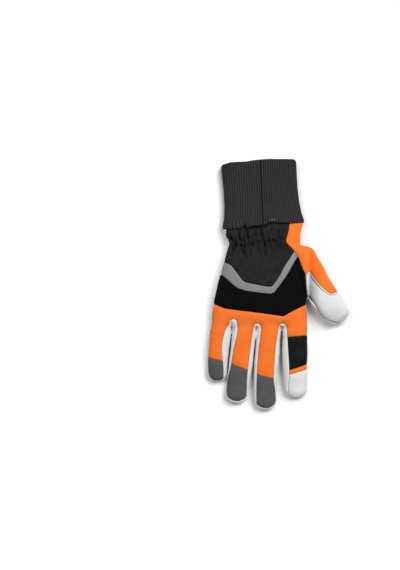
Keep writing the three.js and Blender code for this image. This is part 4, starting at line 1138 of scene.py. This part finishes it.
layers = {key: np.concatenate([ring[key] for ring in rings]) for key in rings[0]}
quads = tube_faces(len(rings), count, closed=True)[:, ::-1]
tube = new_piece("cuff tube", layers.pop("place"), quads, knit)
for name, values in layers.items():
    kind, key = ("FLOAT", "value") if values.ndim == 1 else ("FLOAT_VECTOR", "vector")
    tube.data.attributes.new(name, kind, "POINT").data.foreach_set(key, values.ravel())
cuff = baked(tube, tree, {"Ribs round": float(RIBS), "Rib depth": RIB_DEPTH / 1000}, "knit_cuff_ribbed")
finish_piece(cuff, "knit_cuff")

# Cuff label
# A moulded rubber plate in a grey rubber border, bonded flat to the cuff's palm side against its hem.
# The plate is bare, with one fine raised line inside its edge.
LABEL_WIDTH, LABEL_LENGTH, LABEL_TAPER, LABEL_BORDER = 41, 41, 6, 5
LABEL_THICKNESS, LABEL_CORNER, LABEL_OFFSET, LABEL_GAP = 1.2, 6, -3, 0.3
NEAR_CORNER, CORNER_STEPS = 1.5, 7


def label_outline(border):
    """The label's outline on the plan, moved in by a border, with round corners."""
    half = LABEL_WIDTH / 2 - border
    taper = half - LABEL_TAPER
    near, far = border, LABEL_LENGTH - border
    corners = np.array([(-half, near), (half, near), (taper, far), (-taper, far)], float)
    radii = [NEAR_CORNER, NEAR_CORNER, *[max(LABEL_CORNER - border, NEAR_CORNER)] * 2]
    outline = []
    for k, radius in enumerate(radii):
        corner = corners[k]
        runs = corners[k - 1] - corner, corners[(k + 1) % 4] - corner
        before, after = [run / np.linalg.norm(run) for run in runs]
        for t in np.linspace(0, 1, CORNER_STEPS):
            outline.append(corner + radius * ((1 - t) ** 2 * before + t * t * after))
    outline = np.array(outline) + [LABEL_OFFSET, 0]
    return cuff_start + outline[:, :1] * CUFF_ACROSS + outline[:, 1:] * CUFF_AXIS


def label_part(name, profile, material, closed):
    """A flat moulding whose section is given as rows of border and height, a ring or a filled plate."""
    rings = [np.column_stack([label_outline(border), np.full(4 * CORNER_STEPS, height)])
             for border, height in profile]
    if closed:
        points, faces = np.vstack(rings), tube_faces(len(rings), len(rings[0]), closed=True).tolist()
    else:
        points, faces = loft(rings)
    return new_piece(name, points, [face[::-1] for face in faces], material, smooth_faces=closed)


edge_in = LABEL_BORDER + LABEL_GAP
FRAME_PROFILE = [
    [0, LABEL_THICKNESS], [0, 0.6], [0.25, 0.2], [0.8, 0.02], [LABEL_BORDER - 0.9, 0.02],
    [LABEL_BORDER - 0.3, 0.2], [LABEL_BORDER, 0.55], [LABEL_BORDER, LABEL_THICKNESS],
]
PLATE_PROFILE = [
    [edge_in + 2, LABEL_THICKNESS], [edge_in, LABEL_THICKNESS], [edge_in, 0.75], [edge_in + 0.5, 0.4],
    [edge_in + 1.6, 0.4], [edge_in + 1.8, 0.15], [edge_in + 2.4, 0.15], [edge_in + 2.6, 0.4],
    [edge_in + 6, 0.4],
]
# Moulded rubber: satin, with a fine even grain from its mould
grey_rubber = leather("grey rubber, moulded", "#6c6c6c", "#606060", 1.5, 0.05, roughness=0.55, specular=0.25)
finish_piece(label_part("label_border", FRAME_PROFILE, grey_rubber, True), "label_frame")
finish_piece(label_part("label_bare", PLATE_PROFILE, patch_rubber, False), "label_plate")
